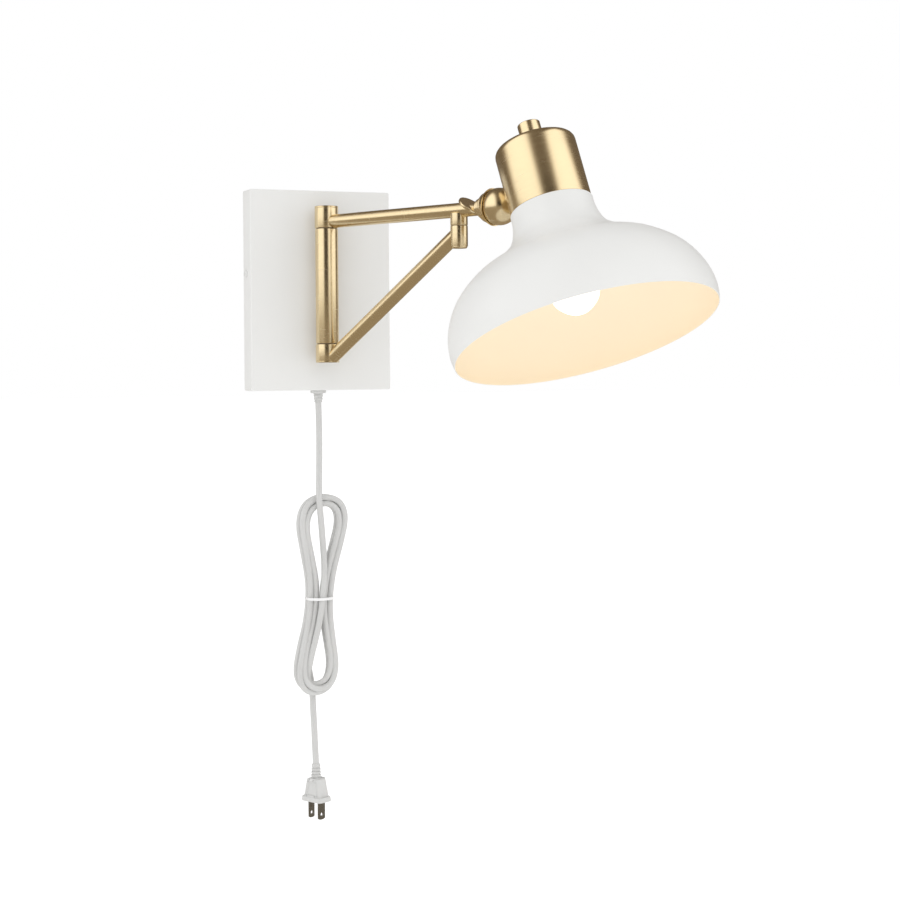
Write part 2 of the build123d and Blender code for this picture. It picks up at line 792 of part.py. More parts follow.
def cord_hank():
    """The outer shape of the tied hank: two loops of bundled cord that pinch in at the waist."""
    upper = (hank_upper_centre, hank_top - hank_upper_width / 2, hank_upper_width / 2)
    lower = (hank_lower_centre, hank_bottom + hank_lower_width / 2, hank_lower_width / 2)
    outline = Sketch() + [teardrop(*loop, hank_waist_width / 2) for loop in (upper, lower)]
    for x, z, radius in (upper, lower):
        toward_waist = 0.42 * (hank_waist - z)
        inner = radius - hank_strand_width
        window = make_hull((Pos(x, z) * Circle(inner)).edges()
                           + (Pos(x, z + toward_waist) * Circle(inner / 3)).edges())
        outline -= window
    solid = extrude(Plane.XZ * outline, hank_depth / 2, both=True)
    return Pos(0, gland_y, 0) * solid


def hank_tie():
    """The flat tie wrapped round the hank's waist."""
    width = hank_waist_width + 3 * soft_gap
    depth = hank_depth + 2 * soft_gap
    outer = Box(width + 2 * tie_thickness, depth + 2 * tie_thickness, tie_height)
    outer = fillet(outer.edges().filter_by(Axis.Z), 3)
    inner = fillet(Box(width, depth, tie_height * 2).edges().filter_by(Axis.Z), 2)
    return Pos(hank_waist_centre, gland_y, hank_waist) * (outer - inner)


def plug_place():
    """The plug's own frame, at the top of its strain relief."""
    return Location((plug_x, gland_y, plug_top), (0, 0, plug_turn))


def plug_relief():
    """The ribbed strain relief over the cord at the plug."""
    cord = cord_diameter / 2
    relief = turned(
        (0, 0), (plug_relief_top_diameter / 2, 0), (plug_relief_diameter / 2, -plug_relief_length),
        (0, -plug_relief_length),
    )
    ribs = 4
    for rib in range(ribs):
        low = -2.4 - rib * 2.8
        relief -= ring(10, cord + 0.6, low - 1.0, low)
    return plug_place() * relief


def plug_body():
    """The moulded plug: a tapered grip over a wider face flange."""
    grip_top = -plug_relief_length
    grip_low = grip_top - plug_body_height
    wide = plug_flange_width * 0.8
    deep = plug_flange_depth * 0.86
    upper = Pos(0, 0, grip_top) * RectangleRounded(plug_body_top_width, plug_body_top_depth, 4)
    lower = Pos(0, 0, grip_low) * RectangleRounded(wide, deep, 4)
    grip = loft([upper, lower])
    flange = extrude(RectangleRounded(plug_flange_width, plug_flange_depth, 4.5), -plug_flange_height)
    flange = fillet(flange.faces().sort_by(Axis.Z)[-1].edges(), 1.0)
    return plug_place() * (grip + Pos(0, 0, grip_low) * flange)


def plug_blades():
    """The two flat blades, one wider than the other, each with its round hole."""
    face = -plug_relief_length - plug_body_height - plug_flange_height
    blades = []
    for side, width in ((-1, blade_width), (1, blade_width + 1.55)):
        blade = Box(blade_thickness, width, blade_length, align=(Align.CENTER, Align.CENTER, Align.MAX))
        blade = chamfer(blade.faces().sort_by(Axis.Z)[0].edges().filter_by(Axis.Y), 0.5)
        hole = rod(blade_hole / 2, (-3, 0, -blade_length + 4.6), (3, 0, -blade_length + 4.6))
        blades.append(Pos(side * blade_spacing / 2, 0, face) * (blade - hole))
    return plug_place() * group(blades)


# ---------------------------------------------------------------- the whole sconce

keep("canopy", canopy())
keep("wall_bracket", wall_bracket())
keep("canopy_side_screws", side_screws())
keep("wire_connectors", wire_connectors())
keep("cord_gland", cord_gland())
keep("gland_nut", gland_nut())
keep("cord_tail", inner_cord())

keep("barrel_tube", barrel_tube())
keep("upper_hinge_bush", hinge_bush(barrel_top, -1))
keep("lower_hinge_bush", hinge_bush(barrel_bottom, 1))
keep("hinge_rod", hinge_rod())
keep("upper_thrust_washer", thrust_washer(barrel_top))
keep("lower_thrust_washer", thrust_washer(barrel_bottom - washer_thickness))
keep("upper_standoff", standoff(standoff_level))
keep("lower_standoff", standoff(-standoff_level))
keep("standoff_screws", standoff_screws())

keep("arm_upper_sleeve", arm_sleeve(upper_sleeve_foot, rod_top))
keep("arm_lower_sleeve", arm_sleeve(rod_bottom, lower_sleeve_head))
keep("upper_sleeve_cap", sleeve_cap(rod_top, 1))
keep("lower_sleeve_cap", sleeve_cap(rod_bottom, -1))
keep("arm_level_tube", level_tube())
keep("arm_brace_tube", brace_tube())
keep("outer_joint_stub", outer_stub())
keep("outer_joint_sleeve", outer_sleeve())
keep("outer_joint_seal", outer_seal())
keep("outer_joint_bolt", outer_bolt())
keep("arm_end_disc", end_disc())
keep("knuckle_neck", neck())
keep("arm_lead", arm_lead())

keep("knuckle_socket", knuckle_socket())
keep("knuckle_ball", knuckle_ball())
keep("ball_nipple", ball_nipple())
keep("nipple_nut", nipple_nut())
keep("switch_cup", switch_cup())
keep("rotary_switch", rotary_switch())
keep("switch_knob", switch_knob())
keep("switch_stem", knob_stem())

keep("shade", shade())
keep("lamp_holder", lamp_holder())
keep("screw_shell", screw_shell())
keep("centre_contact", centre_contact())
keep("shade_ring", shade_ring())
keep("bulb_cap", bulb_cap())
keep("bulb_glass", bulb_glass())

keep("cord_upper_run", cord_tube("cord_upper_run", upper_route))
keep("cord_hank", cord_hank())
keep("hank_tie", hank_tie())
keep("cord_lower_run", cord_tube("cord_lower_run", lower_route))
keep("plug_strain_relief", plug_relief())
keep("plug_body", plug_body())
keep("plug_blades", plug_blades())

os.makedirs("parts", exist_ok=True)
for name, shape in nodes.items():
    export_step(shape, "parts/" + name + ".step")
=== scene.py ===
"""Makes the visible pieces of a plug-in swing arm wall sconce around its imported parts, in metres.

+Z is up and the wall is the plane y = 0, with the lamp standing out along -Y. Four local frames
come from the joints: the arm's, with its origin on the wall hinge and +X along the arm; the
knuckle's, at the ball's centre; and the head's, where the lamp's own axis is +Z.
"""

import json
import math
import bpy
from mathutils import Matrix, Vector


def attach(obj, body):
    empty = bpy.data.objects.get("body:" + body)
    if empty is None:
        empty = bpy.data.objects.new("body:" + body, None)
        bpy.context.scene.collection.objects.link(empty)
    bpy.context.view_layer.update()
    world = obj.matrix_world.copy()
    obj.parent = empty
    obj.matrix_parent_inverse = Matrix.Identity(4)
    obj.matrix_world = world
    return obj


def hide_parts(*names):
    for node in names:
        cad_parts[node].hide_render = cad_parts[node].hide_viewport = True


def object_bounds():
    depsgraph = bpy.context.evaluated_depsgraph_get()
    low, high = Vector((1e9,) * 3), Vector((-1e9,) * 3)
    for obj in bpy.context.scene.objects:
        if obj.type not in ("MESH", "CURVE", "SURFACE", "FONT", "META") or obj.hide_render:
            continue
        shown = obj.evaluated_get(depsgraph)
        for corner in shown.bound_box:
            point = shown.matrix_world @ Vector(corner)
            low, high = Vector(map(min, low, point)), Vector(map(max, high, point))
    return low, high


bl_info = {
    "name": "Swing Arm Wall Sconce",
    "version": (1, 0, 0),
    "blender": (4, 5, 0),
    "location": "3D View > Sidebar > Sconce",
    "description": "Makes the visible pieces of a plug-in swing arm wall sconce",
    "category": "Object",
}

import bmesh
import bpy
from bpy.props import FloatProperty, FloatVectorProperty, IntProperty, PointerProperty
from mathutils import Matrix, Vector
from mathutils.geometry import interpolate_bezier

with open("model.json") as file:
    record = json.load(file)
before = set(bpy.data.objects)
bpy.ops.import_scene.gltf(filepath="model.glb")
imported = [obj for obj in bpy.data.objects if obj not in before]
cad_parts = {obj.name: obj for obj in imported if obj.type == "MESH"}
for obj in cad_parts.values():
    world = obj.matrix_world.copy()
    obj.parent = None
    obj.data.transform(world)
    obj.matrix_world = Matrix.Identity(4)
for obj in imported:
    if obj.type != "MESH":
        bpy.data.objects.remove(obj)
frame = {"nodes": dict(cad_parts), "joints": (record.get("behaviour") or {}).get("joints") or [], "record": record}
cad_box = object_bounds()

MM = 0.001
UP = Vector((0, 0, 1))
TURN = 2 * math.pi
record = frame["record"]
joints = {joint["name"]: joint for joint in frame["joints"]}
body_of_node = {node: body for body, nodes in record["behaviour"]["bodies"].items() for node in nodes}
slot_of_node = {part["node"]: part["material_slot"] for part in record["subparts"]}


# ------------------------------------------------------------------ places and measured sizes

def place_from(origin, x_axis, z_axis):
    """A local frame as a matrix, from its origin, its X axis and its upright axis."""
    x = Vector(x_axis).normalized()
    y = Vector(z_axis).cross(x).normalized()
    matrix = Matrix((x, y, x.cross(y))).transposed().to_4x4()
    matrix.translation = origin
    return matrix


def place_along(start, end):
    """A frame at start whose Z axis points to end."""
    matrix = (end - start).to_track_quat("Z", "Y").to_matrix().to_4x4()
    matrix.translation = start
    return matrix


def span(node, place=None):
    """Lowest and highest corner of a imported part, measured along a local frame's axes."""
    inside = (place or Matrix()).inverted()
    points = [inside @ vertex.co for vertex in frame["nodes"][node].data.vertices]
    return Vector([min(axis) for axis in zip(*points)]), Vector([max(axis) for axis in zip(*points)])


def radius_of(node, place):
    """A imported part's greatest distance from a local frame's Z axis."""
    inside = place.inverted()
    points = [inside @ vertex.co for vertex in frame["nodes"][node].data.vertices]
    return max(math.hypot(point.x, point.y) for point in points)


pivot = Vector(joints["arm_swing"]["pos_m"])
ball_centre = Vector(joints["head_roll"]["pos_m"])
arm_direction = Vector(joints["head_roll"]["axis"]).normalized()
tilt_axis = -Vector(joints["head_tilt"]["axis"]).normalized()
lamp_axis = Vector(joints["switch_turn"]["axis"]).normalized()
lamp_side = tilt_axis.cross(lamp_axis)
to_switch = Vector(joints["switch_turn"]["pos_m"]) - ball_centre
cup_offset = to_switch.dot(lamp_side)

SPIN_ABOUT_X = Matrix.Rotation(math.radians(90), 4, "Y")
hinge_place = Matrix.Translation(pivot)
arm_place = place_from(pivot, arm_direction, UP)
knuckle_place = place_from(ball_centre, arm_direction, arm_direction.cross(tilt_axis))
ball_place = place_from(ball_centre, lamp_side, lamp_axis)
head_place = place_from(ball_centre + lamp_side * cup_offset, lamp_side, lamp_axis)
gland_place = Matrix.Translation((0, sum(corner.y for corner in span("cord_gland")) / 2, 0))

# The cord's route from the gland's tip to the hank, and from the hank to the plug.
gland_y = gland_place.translation.y
UPPER_ROUTE = [
    (0.0, 0.0, -99.6), (0.5, -0.1, -122.0), (0.2, -1.0, -143.0), (-1.2, -4.2, -161.0), (-2.9, -8.6, -176.0),
    (-3.2, -9.8, -187.0), (-1.9, -8.8, -199.0), (0.3, -5.6, -213.0), (2.0, -3.8, -229.0), (2.9, -4.6, -243.0),
    (1.8, -7.4, -257.0), (0.2, -8.0, -271.0), (-1.2, -8.0, -284.0), (-3.6, -7.6, -298.0),
    (-7.0, -6.2, -313.0),
    (-10.4, -4.6, -327.0),
]
LOWER_ROUTE = [
    (-11.4, 5.6, -329.0), (-8.8, 7.8, -339.0), (-6.4, 8.6, -350.0), (-5.3, 8.4, -362.0), (-5.8, 5.0, -376.0),
    (-6.2, 1.0, -392.0), (-5.9, 0.1, -409.0), (-5.2, 0.0, -424.0),
]


# ------------------------------------------------------------------ sizes and colours to change

def length(name, description, millimetres):
    """A length that the panel shows."""
    return FloatProperty(name=name, description=description, default=millimetres * MM, unit="LENGTH")


def colour(name, description, default):
    """A colour that the panel shows."""
    return FloatVectorProperty(
        name=name, description=description, default=default, subtype="COLOR", min=0, max=1
    )


class SconceShape(bpy.types.PropertyGroup):
    """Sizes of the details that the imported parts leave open."""

    turned_facets: IntProperty(
        name="Turned facets", description="Faces round a large turned piece", default=144, min=24
    )
    rod_facets: IntProperty(name="Rod facets", description="Faces round a thin piece", default=72, min=12)
    round_facets: IntProperty(name="Edge facets", description="Faces across a rounded edge", default=5, min=1)
    fine_edge: length("Fine edge", "Radius of a broken metal edge", 0.3)
    canopy_wall: length("Canopy wall", "Thickness of the canopy's sheet", 1.2)
    canopy_corner: length("Canopy corner", "Radius of the canopy's corners", 1.5)
    canopy_rim: length("Canopy rim", "Radius where its front meets its sides", 1.0)
    shade_wall: length("Shade wall", "Thickness of the shade's metal", 0.8)
    cup_corner: length("Cup corner", "Radius of the cup's top edge", 6.0)
    cord_diameter: length("Cord diameter", "Outer diameter of the cord", 5.5)
    hank_turns: IntProperty(name="Hank turns", description="Turns of cord in the hank", default=4, min=1)


class SconceColours(bpy.types.PropertyGroup):
    """Colours of the finishes."""

    brass: colour("Brass", "Satin brass", (0.80, 0.65, 0.405))
    paint: colour("Paint", "Powder coat", (0.80, 0.80, 0.785))
    # The inside's cream is partly its paint and partly painted warm light from the bulb, so it stays warm without
    # the lamp.
    inside_paint_and_lamp_glow: colour("Inside paint", "Inside of the shade", (0.92, 0.82, 0.66))
    vinyl: colour("Vinyl", "Cord and strain relief", (0.62, 0.62, 0.61))
    lamp_light: colour("Lamp light", "Light from the bulb", (1.0, 0.88, 0.66))
    lamp_strength: FloatProperty(
        name="Lamp strength", description="Brightness of the bulb", default=1.5, min=0
    )


def shape():
    """The sizes that the panel holds."""
    return bpy.context.scene.sconce_shape


def colours():
    """The colours that the panel holds."""
    return bpy.context.scene.sconce_colours


# ------------------------------------------------------------------ finishes

def link(tree, source, target):
    """Joins an output socket to an input socket."""
    tree.links.new(source, target)


def pattern(tree, density, place=None, detail=2.0):
    """Noise in the piece's own coordinates, with so many cells to the metre along a frame's axes."""
    coordinates = tree.nodes.new("ShaderNodeTexCoord")
    mapping = tree.nodes.new("ShaderNodeMapping")
    mapping.vector_type = "TEXTURE"
    if place is not None:
        mapping.inputs["Location"].default_value = place.translation
        mapping.inputs["Rotation"].default_value = place.to_euler()
    mapping.inputs["Scale"].default_value = [1 / cells for cells in density]
    noise = tree.nodes.new("ShaderNodeTexNoise")
    noise.inputs["Scale"].default_value = 1.0
    noise.inputs["Detail"].default_value = detail
    link(tree, coordinates.outputs["Object"], mapping.inputs["Vector"])
    link(tree, mapping.outputs["Vector"], noise.inputs["Vector"])
    return noise.outputs["Fac"]


def spread(tree, value, low, high):
    """A 0 to 1 value spread over a range."""
    node = tree.nodes.new("ShaderNodeMapRange")
    node.inputs["From Min"].default_value = 0.25
    node.inputs["From Max"].default_value = 0.75
    node.inputs["To Min"].default_value = low
    node.inputs["To Max"].default_value = high
    link(tree, value, node.inputs["Value"])
    return node.outputs["Result"]


def colour_between(tree, first, second, factor):
    """A colour between two, by a 0 to 1 value."""
    mix = tree.nodes.new("ShaderNodeMix")
    mix.data_type = "RGBA"
    ends = [socket for socket in mix.inputs if socket.type == "RGBA"]
    for socket, colour in zip(ends, (first, second)):
        socket.default_value = (*colour, 1)
    link(tree, factor, mix.inputs["Factor"])
    return [socket for socket in mix.outputs if socket.type == "RGBA"][0]


class Finish:
    """A material with one Principled shader, which its patterns are joined to."""

    def __init__(self, name, colour, roughness, metallic=0.0, **even):
        self.material = bpy.data.materials.new(name)
        self.material.use_nodes = True
        self.tree = self.material.node_tree
        self.shader = self.tree.nodes["Principled BSDF"]
        self.colour = Vector(colour)
        self.shader.inputs["Base Color"].default_value = (*colour, 1)
        self.shader.inputs["Roughness"].default_value = roughness
        self.shader.inputs["Metallic"].default_value = metallic
        for socket, value in even.items():
            self.shader.inputs[socket.replace("_", " ")].default_value = value

    def mottle(self, noise, dark, light):
        """Lets the colour drift between two shares of itself."""
        ends = [[min(1.0, channel * share) for channel in self.colour] for share in (dark, light)]
        mixed = colour_between(self.tree, *ends, spread(self.tree, noise, 0, 1))
        link(self.tree, mixed, self.shader.inputs["Base Color"])

    def smudge(self, noise, low, high):
        """Lets the roughness drift."""
        link(self.tree, spread(self.tree, noise, low, high), self.shader.inputs["Roughness"])

    def grain(self, noise, height, strength=1.0):
        """Adds a fine relief."""
        bump = self.tree.nodes.new("ShaderNodeBump")
        bump.inputs["Distance"].default_value = height
        bump.inputs["Strength"].default_value = strength
        link(self.tree, noise, bump.inputs["Height"])
        previous = self.shader.inputs["Normal"].links
        if previous:
            link(self.tree, previous[0].from_socket, bump.inputs["Normal"])
        link(self.tree, bump.outputs["Normal"], self.shader.inputs["Normal"])


made_finishes = {}


def kept_finish(name, make):
    """A finish by name, made the first time that it is asked for."""
    if name not in made_finishes:
        made_finishes[name] = make(name).material
    return made_finishes[name]


def satin_brass(name, place):
    """Brushed brass with fine lines round the place's Z axis, and faint clouding under the lacquer."""
    def make(full_name):
        finish = Finish(full_name, colours().brass, 0.24, metallic=1.0)
        brushed = pattern(finish.tree, (60, 60, 5200), place, detail=3)
        clouded = pattern(finish.tree, (45, 45, 30), place)
        finish.mottle(clouded, 0.98, 1.02)
        finish.smudge(pattern(finish.tree, (70, 70, 900), place), 0.21, 0.28)
        finish.grain(brushed, 0.006 * MM, 0.25)
        return finish
    return kept_finish("satin_brass_" + name, make)


def painted(name, colour, roughness=0.42):
    """Powder coat: a soft sheen with a fine orange peel."""
    finish = Finish(name, colour, roughness, Specular_IOR_Level=0.4)
    finish.mottle(pattern(finish.tree, (18, 18, 18)), 0.985, 1.01)
    finish.smudge(pattern(finish.tree, (60, 60, 60)), roughness - 0.04, roughness + 0.05)
    finish.grain(pattern(finish.tree, (900, 900, 900), detail=1), 0.05 * MM, 0.25)
    return finish


def moulded(name, colour, roughness, **even):
    """Moulded plastic or vinyl with a faint texture and drifting gloss."""
    finish = Finish(name, colour, roughness, **even)
    finish.mottle(pattern(finish.tree, (40, 40, 40)), 0.97, 1.02)
    finish.smudge(pattern(finish.tree, (120, 120, 120)), roughness - 0.06, roughness + 0.06)
    finish.grain(pattern(finish.tree, (1400, 1400, 1400), detail=1), 0.04 * MM, 0.3)
    return finish


def bare_metal(name, colour, low, high, density):
    """Plain metal with drawn or rolled streaks, and a roughness between two values."""
    finish = Finish(name, colour, (low + high) / 2, metallic=1.0)
    streaks = pattern(finish.tree, density, detail=3)
    finish.mottle(pattern(finish.tree, (80, 80, 80)), 0.9, 1.05)
    finish.smudge(streaks, low, high)
    finish.grain(streaks, 0.02 * MM, 0.2)
    return finish


def frosted_glass(name):
    """The lit bulb: warm light from a frosted envelope."""
    light = colours().lamp_light
    finish = Finish(name, (1.0, 0.95, 0.86), 0.35)
    finish.shader.inputs["Emission Color"].default_value = (*light, 1)
    finish.shader.inputs["Emission Strength"].default_value = colours().lamp_strength
    finish.smudge(pattern(finish.tree, (200, 200, 200)), 0.3, 0.42)
    finish.grain(pattern(finish.tree, (2500, 2500, 2500), detail=1), 0.02 * MM, 0.2)
    return finish


MOULDED_FINISHES = {
    "tie_plastic": ((0.9, 0.9, 0.9), 0.25),
    "nylon": ((0.20, 0.15, 0.09), 0.5),
    "connector_plastic": ((0.72, 0.25, 0.04), 0.4),
    "holder_plastic": ((0.62, 0.58, 0.5), 0.35),
}
METAL_FINISHES = {
    "zinc_steel": ((0.62, 0.63, 0.66), 0.28, 0.45, (250, 250, 250)),
    # The blades' colour is darkened well below bright nickel: painted shade, so that the blades read dark.
    "nickel_blade": ((0.30, 0.295, 0.28), 0.2, 0.32, (1500, 1500, 120)),
    "shell_brass": ((0.75, 0.58, 0.28), 0.2, 0.35, (300, 300, 900)),
    "lamp_cap_aluminium": ((0.78, 0.78, 0.77), 0.25, 0.4, (300, 300, 900)),
}


def plain_finish(name):
    """A finish with the same pattern all over, by its slot's name."""
    kept = colours()
    if name in MOULDED_FINISHES:
        return moulded(name, *MOULDED_FINISHES[name])
    if name in METAL_FINISHES:
        return bare_metal(name, *METAL_FINISHES[name])
    if name == "white_vinyl":
        return moulded(name, kept.vinyl, 0.42, Subsurface_Weight=0.06, Subsurface_Radius=(2 * MM,) * 3)
    if name == "plug_plastic":
        return moulded(name, [channel * 1.04 for channel in kept.vinyl], 0.4)
    if name == "white_screw":
        return painted(name, [channel * 0.9 for channel in kept.paint], 0.5)
    # The shade's inside: its paint, tinted with painted warm lamp light.
    if name == "inside_coat_and_painted_glow":
        return painted(name, kept.inside_paint_and_lamp_glow, 0.5)
    if name == "frosted_glass":
        return frosted_glass(name)
    return painted(name, kept.paint)


BODY_PLACES = {
    "wall_mount": hinge_place, "swing_arm": arm_place, "knuckle": knuckle_place, "lamp_head": head_place,
    "knob": head_place,
}


def finish_for(node):
    """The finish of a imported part's material slot, lined up with its body."""
    slot = slot_of_node[node]
    body = body_of_node[node]
    if slot == "satin_brass":
        return satin_brass(body, BODY_PLACES[body])
    return kept_finish(slot, plain_finish)


# ------------------------------------------------------------------ ways to make a mesh

def face_outwards(bm):
    """Turns every face of a closed mesh outwards."""
    bmesh.ops.recalc_face_normals(bm, faces=bm.faces)


def round_off(bm, geom, radius, segments, affect="EDGES"):
    """Rounds edges or corners over to a radius."""
    bmesh.ops.bevel(
        bm, geom=geom, offset=radius, offset_type="OFFSET", segments=segments, profile=0.5, affect=affect,
        material=-1,
    )


def cut_off(bm, point, normal, keep_ahead=False):
    """Cuts a closed mesh by a plane, keeps what lies behind it or ahead of it, and closes the cut."""
    cut = bmesh.ops.bisect_plane(
        bm, geom=bm.verts[:] + bm.edges[:] + bm.faces[:], plane_co=point, plane_no=normal,
        clear_outer=not keep_ahead, clear_inner=keep_ahead,
    )
    rim = [part for part in cut["geom_cut"] if isinstance(part, bmesh.types.BMEdge)]
    bmesh.ops.holes_fill(bm, edges=rim)
    face_outwards(bm)


SMALL_FACETS = 48


def new_corners(extruded):
    """The corners that an extrusion made."""
    return [part for part in extruded["geom"] if isinstance(part, bmesh.types.BMVert)]


def open_edges(bm):
    """The edges with a face on one side only."""
    return [edge for edge in bm.edges if edge.is_boundary]


def spun(outline, facets=None, closed=False):
    """Turns (radius, height, rounding) points about Z; an open outline starts and ends on the axis."""
    bm = bmesh.new()
    corners = [bm.verts.new((radius, 0, height)) for radius, height, _ in outline]
    ends = corners[1:] + corners[:1] if closed else corners[1:]
    for here, there in zip(corners, ends):
        bm.edges.new((here, there))
    for corner, (_, _, rounding) in zip(corners, outline):
        if rounding:
            round_off(bm, [corner], rounding, shape().round_facets, "VERTICES")
    bmesh.ops.spin(
        bm, geom=bm.verts[:] + bm.edges[:], cent=(0, 0, 0), axis=(0, 0, 1), angle=TURN,
        steps=facets or shape().rod_facets, use_merge=True,
    )
    bmesh.ops.remove_doubles(bm, verts=bm.verts, dist=0.001 * MM)
    face_outwards(bm)
    return bm


def disc_stack(outline, facets=None):
    """A solid turned piece from (radius, height, rounding) points, closed on the axis at both ends."""
    low = outline[0][1]
    high = outline[-1][1]
    return spun([(0, low, 0), *outline, (0, high, 0)], facets)


def bar(radius, low, high, edge):
    """A round bar about Z with broken edges."""
    return disc_stack([(radius, low, edge), (radius, high, edge)])


def bar_piece(name, node, place, finish, edge):
    """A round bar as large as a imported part, about a local frame's Z axis."""
    low, high = span(node, place)
    piece(name, node, bar(high.x, low.z, high.z, edge), place, finish)


def smooth_line(points, steps):
    """A smooth line through (radius, height) points, with its ends left straight on."""
    line = [Vector((radius, height)) for radius, height in points]
    before = [line[0] * 2 - line[1]] + line[:-1]
    after = line[1:] + [line[-1] * 2 - line[-2]]
    slopes = []
    for back, here, ahead in zip(before, line, after):
        first = (here - back).length
        second = (ahead - here).length
        slope = (here - back) / first * second + (ahead - here) / second * first
        slopes.append(slope / (first + second))
    result = [line[0]]
    for index, (here, there) in enumerate(zip(line, line[1:])):
        third = (there - here).length / 3
        curve = interpolate_bezier(
            here, here + slopes[index] * third, there - slopes[index + 1] * third, there, steps + 1
        )
        result += [Vector(point[:2]) for point in curve[1:]]
    return result


def moved_in(line, distance):
    """The same line moved towards the axis by a distance, square to itself."""
    result = []
    for index, here in enumerate(line):
        along = (line[min(index + 1, len(line) - 1)] - line[max(index - 1, 0)]).normalized()
        result.append(here + Vector((along.y, -along.x)) * distance)
    return result


def join_in(bm, other, place=None):
    """Moves another bmesh's pieces into this one."""
    if place is not None:
        bmesh.ops.transform(other, matrix=place, verts=other.verts)
    scratch = bpy.data.meshes.new("scratch")
    other.to_mesh(scratch)
    other.free()
    bm.from_mesh(scratch)
    bpy.data.meshes.remove(scratch)
    return bm


SHARP_ANGLE = math.radians(32)


def piece(name, node, bm, place=None, finish=None):
    """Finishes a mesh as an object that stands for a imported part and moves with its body."""
    if place is not None:
        bmesh.ops.transform(bm, matrix=place, verts=bm.verts)
    mesh = bpy.data.meshes.new(name)
    bm.to_mesh(mesh)
    bm.free()
    mesh.materials.append(finish or finish_for(node))
    mesh.polygons.foreach_set("use_smooth", [True] * len(mesh.polygons))
    mesh.set_sharp_from_angle(angle=SHARP_ANGLE)
    made = bpy.data.objects.new(name, mesh)
    bpy.context.scene.collection.objects.link(made)
    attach(made, body_of_node[node])
    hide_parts(node)
    return made


# ------------------------------------------------------------------ the stage

class SCONCE_OT_stage(bpy.types.Operator):
    """Makes the floor, the studio light and the camera"""

    bl_idname = "sconce.stage"
    bl_label = "Stage"

    def execute(self, context):
        make_camera()
        make_world()
        make_floor()
        context.scene.view_settings.view_transform = "Standard"
        return {"FINISHED"}


WHITE = (1, 1, 1)
WARM_WALL = (1.0, 0.80, 0.60)
# A painted reflection: the dim colour that mirrors see in place of the white floor.
PAINTED_FLOOR_REFLECTION = (0.36, 0.31, 0.24)
BOX_STRENGTH = 1.25
FLOOR_DROP = 0.12
FLOOR_HALF_WIDTH = 30.0
CAMERA_SPOT = (-0.5019, -1.5527, -0.06815)
CAMERA_HEADING = math.radians(22.23)
CAMERA_ROLL = math.radians(-0.51)
camera_forward = Vector((math.sin(CAMERA_HEADING), math.cos(CAMERA_HEADING), 0))
camera_right = camera_forward.cross(UP)


def make_camera():
    """A level camera to the left of the lamp, with the view slid down to hold the plug."""
    camera = bpy.data.cameras.new("camera")
    camera.sensor_width = 36
    camera.lens = 72
    camera.shift_y = -0.0936
    rig = bpy.data.objects.new("camera", camera)
    bpy.context.scene.collection.objects.link(rig)
    facing = Matrix((camera_right, UP, -camera_forward)).transposed().to_4x4()
    rig.matrix_world = Matrix.Translation(CAMERA_SPOT) @ facing @ Matrix.Rotation(CAMERA_ROLL, 4, "Z")
    bpy.context.scene.camera = rig


def make_world():
    """A white studio: even light, with soft boxes left and right that only show in reflections."""
    world = bpy.data.worlds.new("studio")
    bpy.context.scene.world = world
    world.use_nodes = True
    tree = world.node_tree
    background = tree.nodes["Background"]
    direction = tree.nodes.new("ShaderNodeTexCoord").outputs["Generated"]

    def along(axis):
        """How far the direction points along an axis."""
        dot = tree.nodes.new("ShaderNodeVectorMath")
        dot.operation = "DOT_PRODUCT"
        dot.inputs[1].default_value = axis
        link(tree, direction, dot.inputs[0])
        return dot.outputs["Value"]

    def step(value, start, end, low=0.0, high=1.0):
        """A soft step between two values."""
        node = tree.nodes.new("ShaderNodeMapRange")
        node.interpolation_type = "SMOOTHSTEP"
        node.inputs["From Min"].default_value = start
        node.inputs["From Max"].default_value = end
        node.inputs["To Min"].default_value = low
        node.inputs["To Max"].default_value = high
        link(tree, value, node.inputs["Value"])
        return node.outputs["Result"]

    def combine(operation, first, second):
        """Two values joined by a sum, a product or the like."""
        node = tree.nodes.new("ShaderNodeMath")
        node.operation = operation
        for socket, value in zip(node.inputs, (first, second)):
            if isinstance(value, float):
                socket.default_value = value
            else:
                link(tree, value, socket)
        return node.outputs["Value"]

    side = along(camera_right)
    front = along(-camera_forward)
    height = along(UP)
    level = combine("MULTIPLY", step(height, -0.45, -0.1), step(height, 0.99, 0.86))
    before = combine("MULTIPLY", level, step(front, -0.4, -0.05))
    sides = combine("ADD", step(side, -0.30, -0.50), step(side, 0.22, 0.42))
    boxes = combine("MULTIPLY", combine("MULTIPLY", sides, before), BOX_STRENGTH)
    dim = combine("ADD", step(front, 0.97, 0.75, 0.03, 0.16), boxes)
    path = tree.nodes.new("ShaderNodeLightPath")
    seen = combine("MAXIMUM", step(height, -1.0, 1.0, 0.82, 1.08), path.outputs["Is Camera Ray"])
    mix = tree.nodes.new("ShaderNodeMix")
    mix.data_type = "FLOAT"
    link(tree, path.outputs["Is Glossy Ray"], mix.inputs["Factor"])
    link(tree, seen, mix.inputs[2])
    link(tree, dim, mix.inputs[3])
    link(tree, mix.outputs[0], background.inputs["Strength"])
    lit = combine("MAXIMUM", boxes, combine("SUBTRACT", 1.0, path.outputs["Is Glossy Ray"]))
    link(tree, colour_between(tree, WARM_WALL, WHITE, lit), background.inputs["Color"])


def darken_in_reflections(finish):
    """Paints a dim reflection onto a stage finish: glossy rays see a dark emission in place of the lit floor, the
    way a floor far from the lamps would look in mirrors.
    """
    tree = finish.tree
    path = tree.nodes.new("ShaderNodeLightPath")
    dark = tree.nodes.new("ShaderNodeEmission")
    dark.inputs["Color"].default_value = (*PAINTED_FLOOR_REFLECTION, 1)
    mix = tree.nodes.new("ShaderNodeMixShader")
    output = tree.nodes["Material Output"]
    link(tree, path.outputs["Is Glossy Ray"], mix.inputs[0])
    link(tree, finish.shader.outputs["BSDF"], mix.inputs[1])
    link(tree, dark.outputs["Emission"], mix.inputs[2])
    link(tree, mix.outputs["Shader"], output.inputs["Surface"])


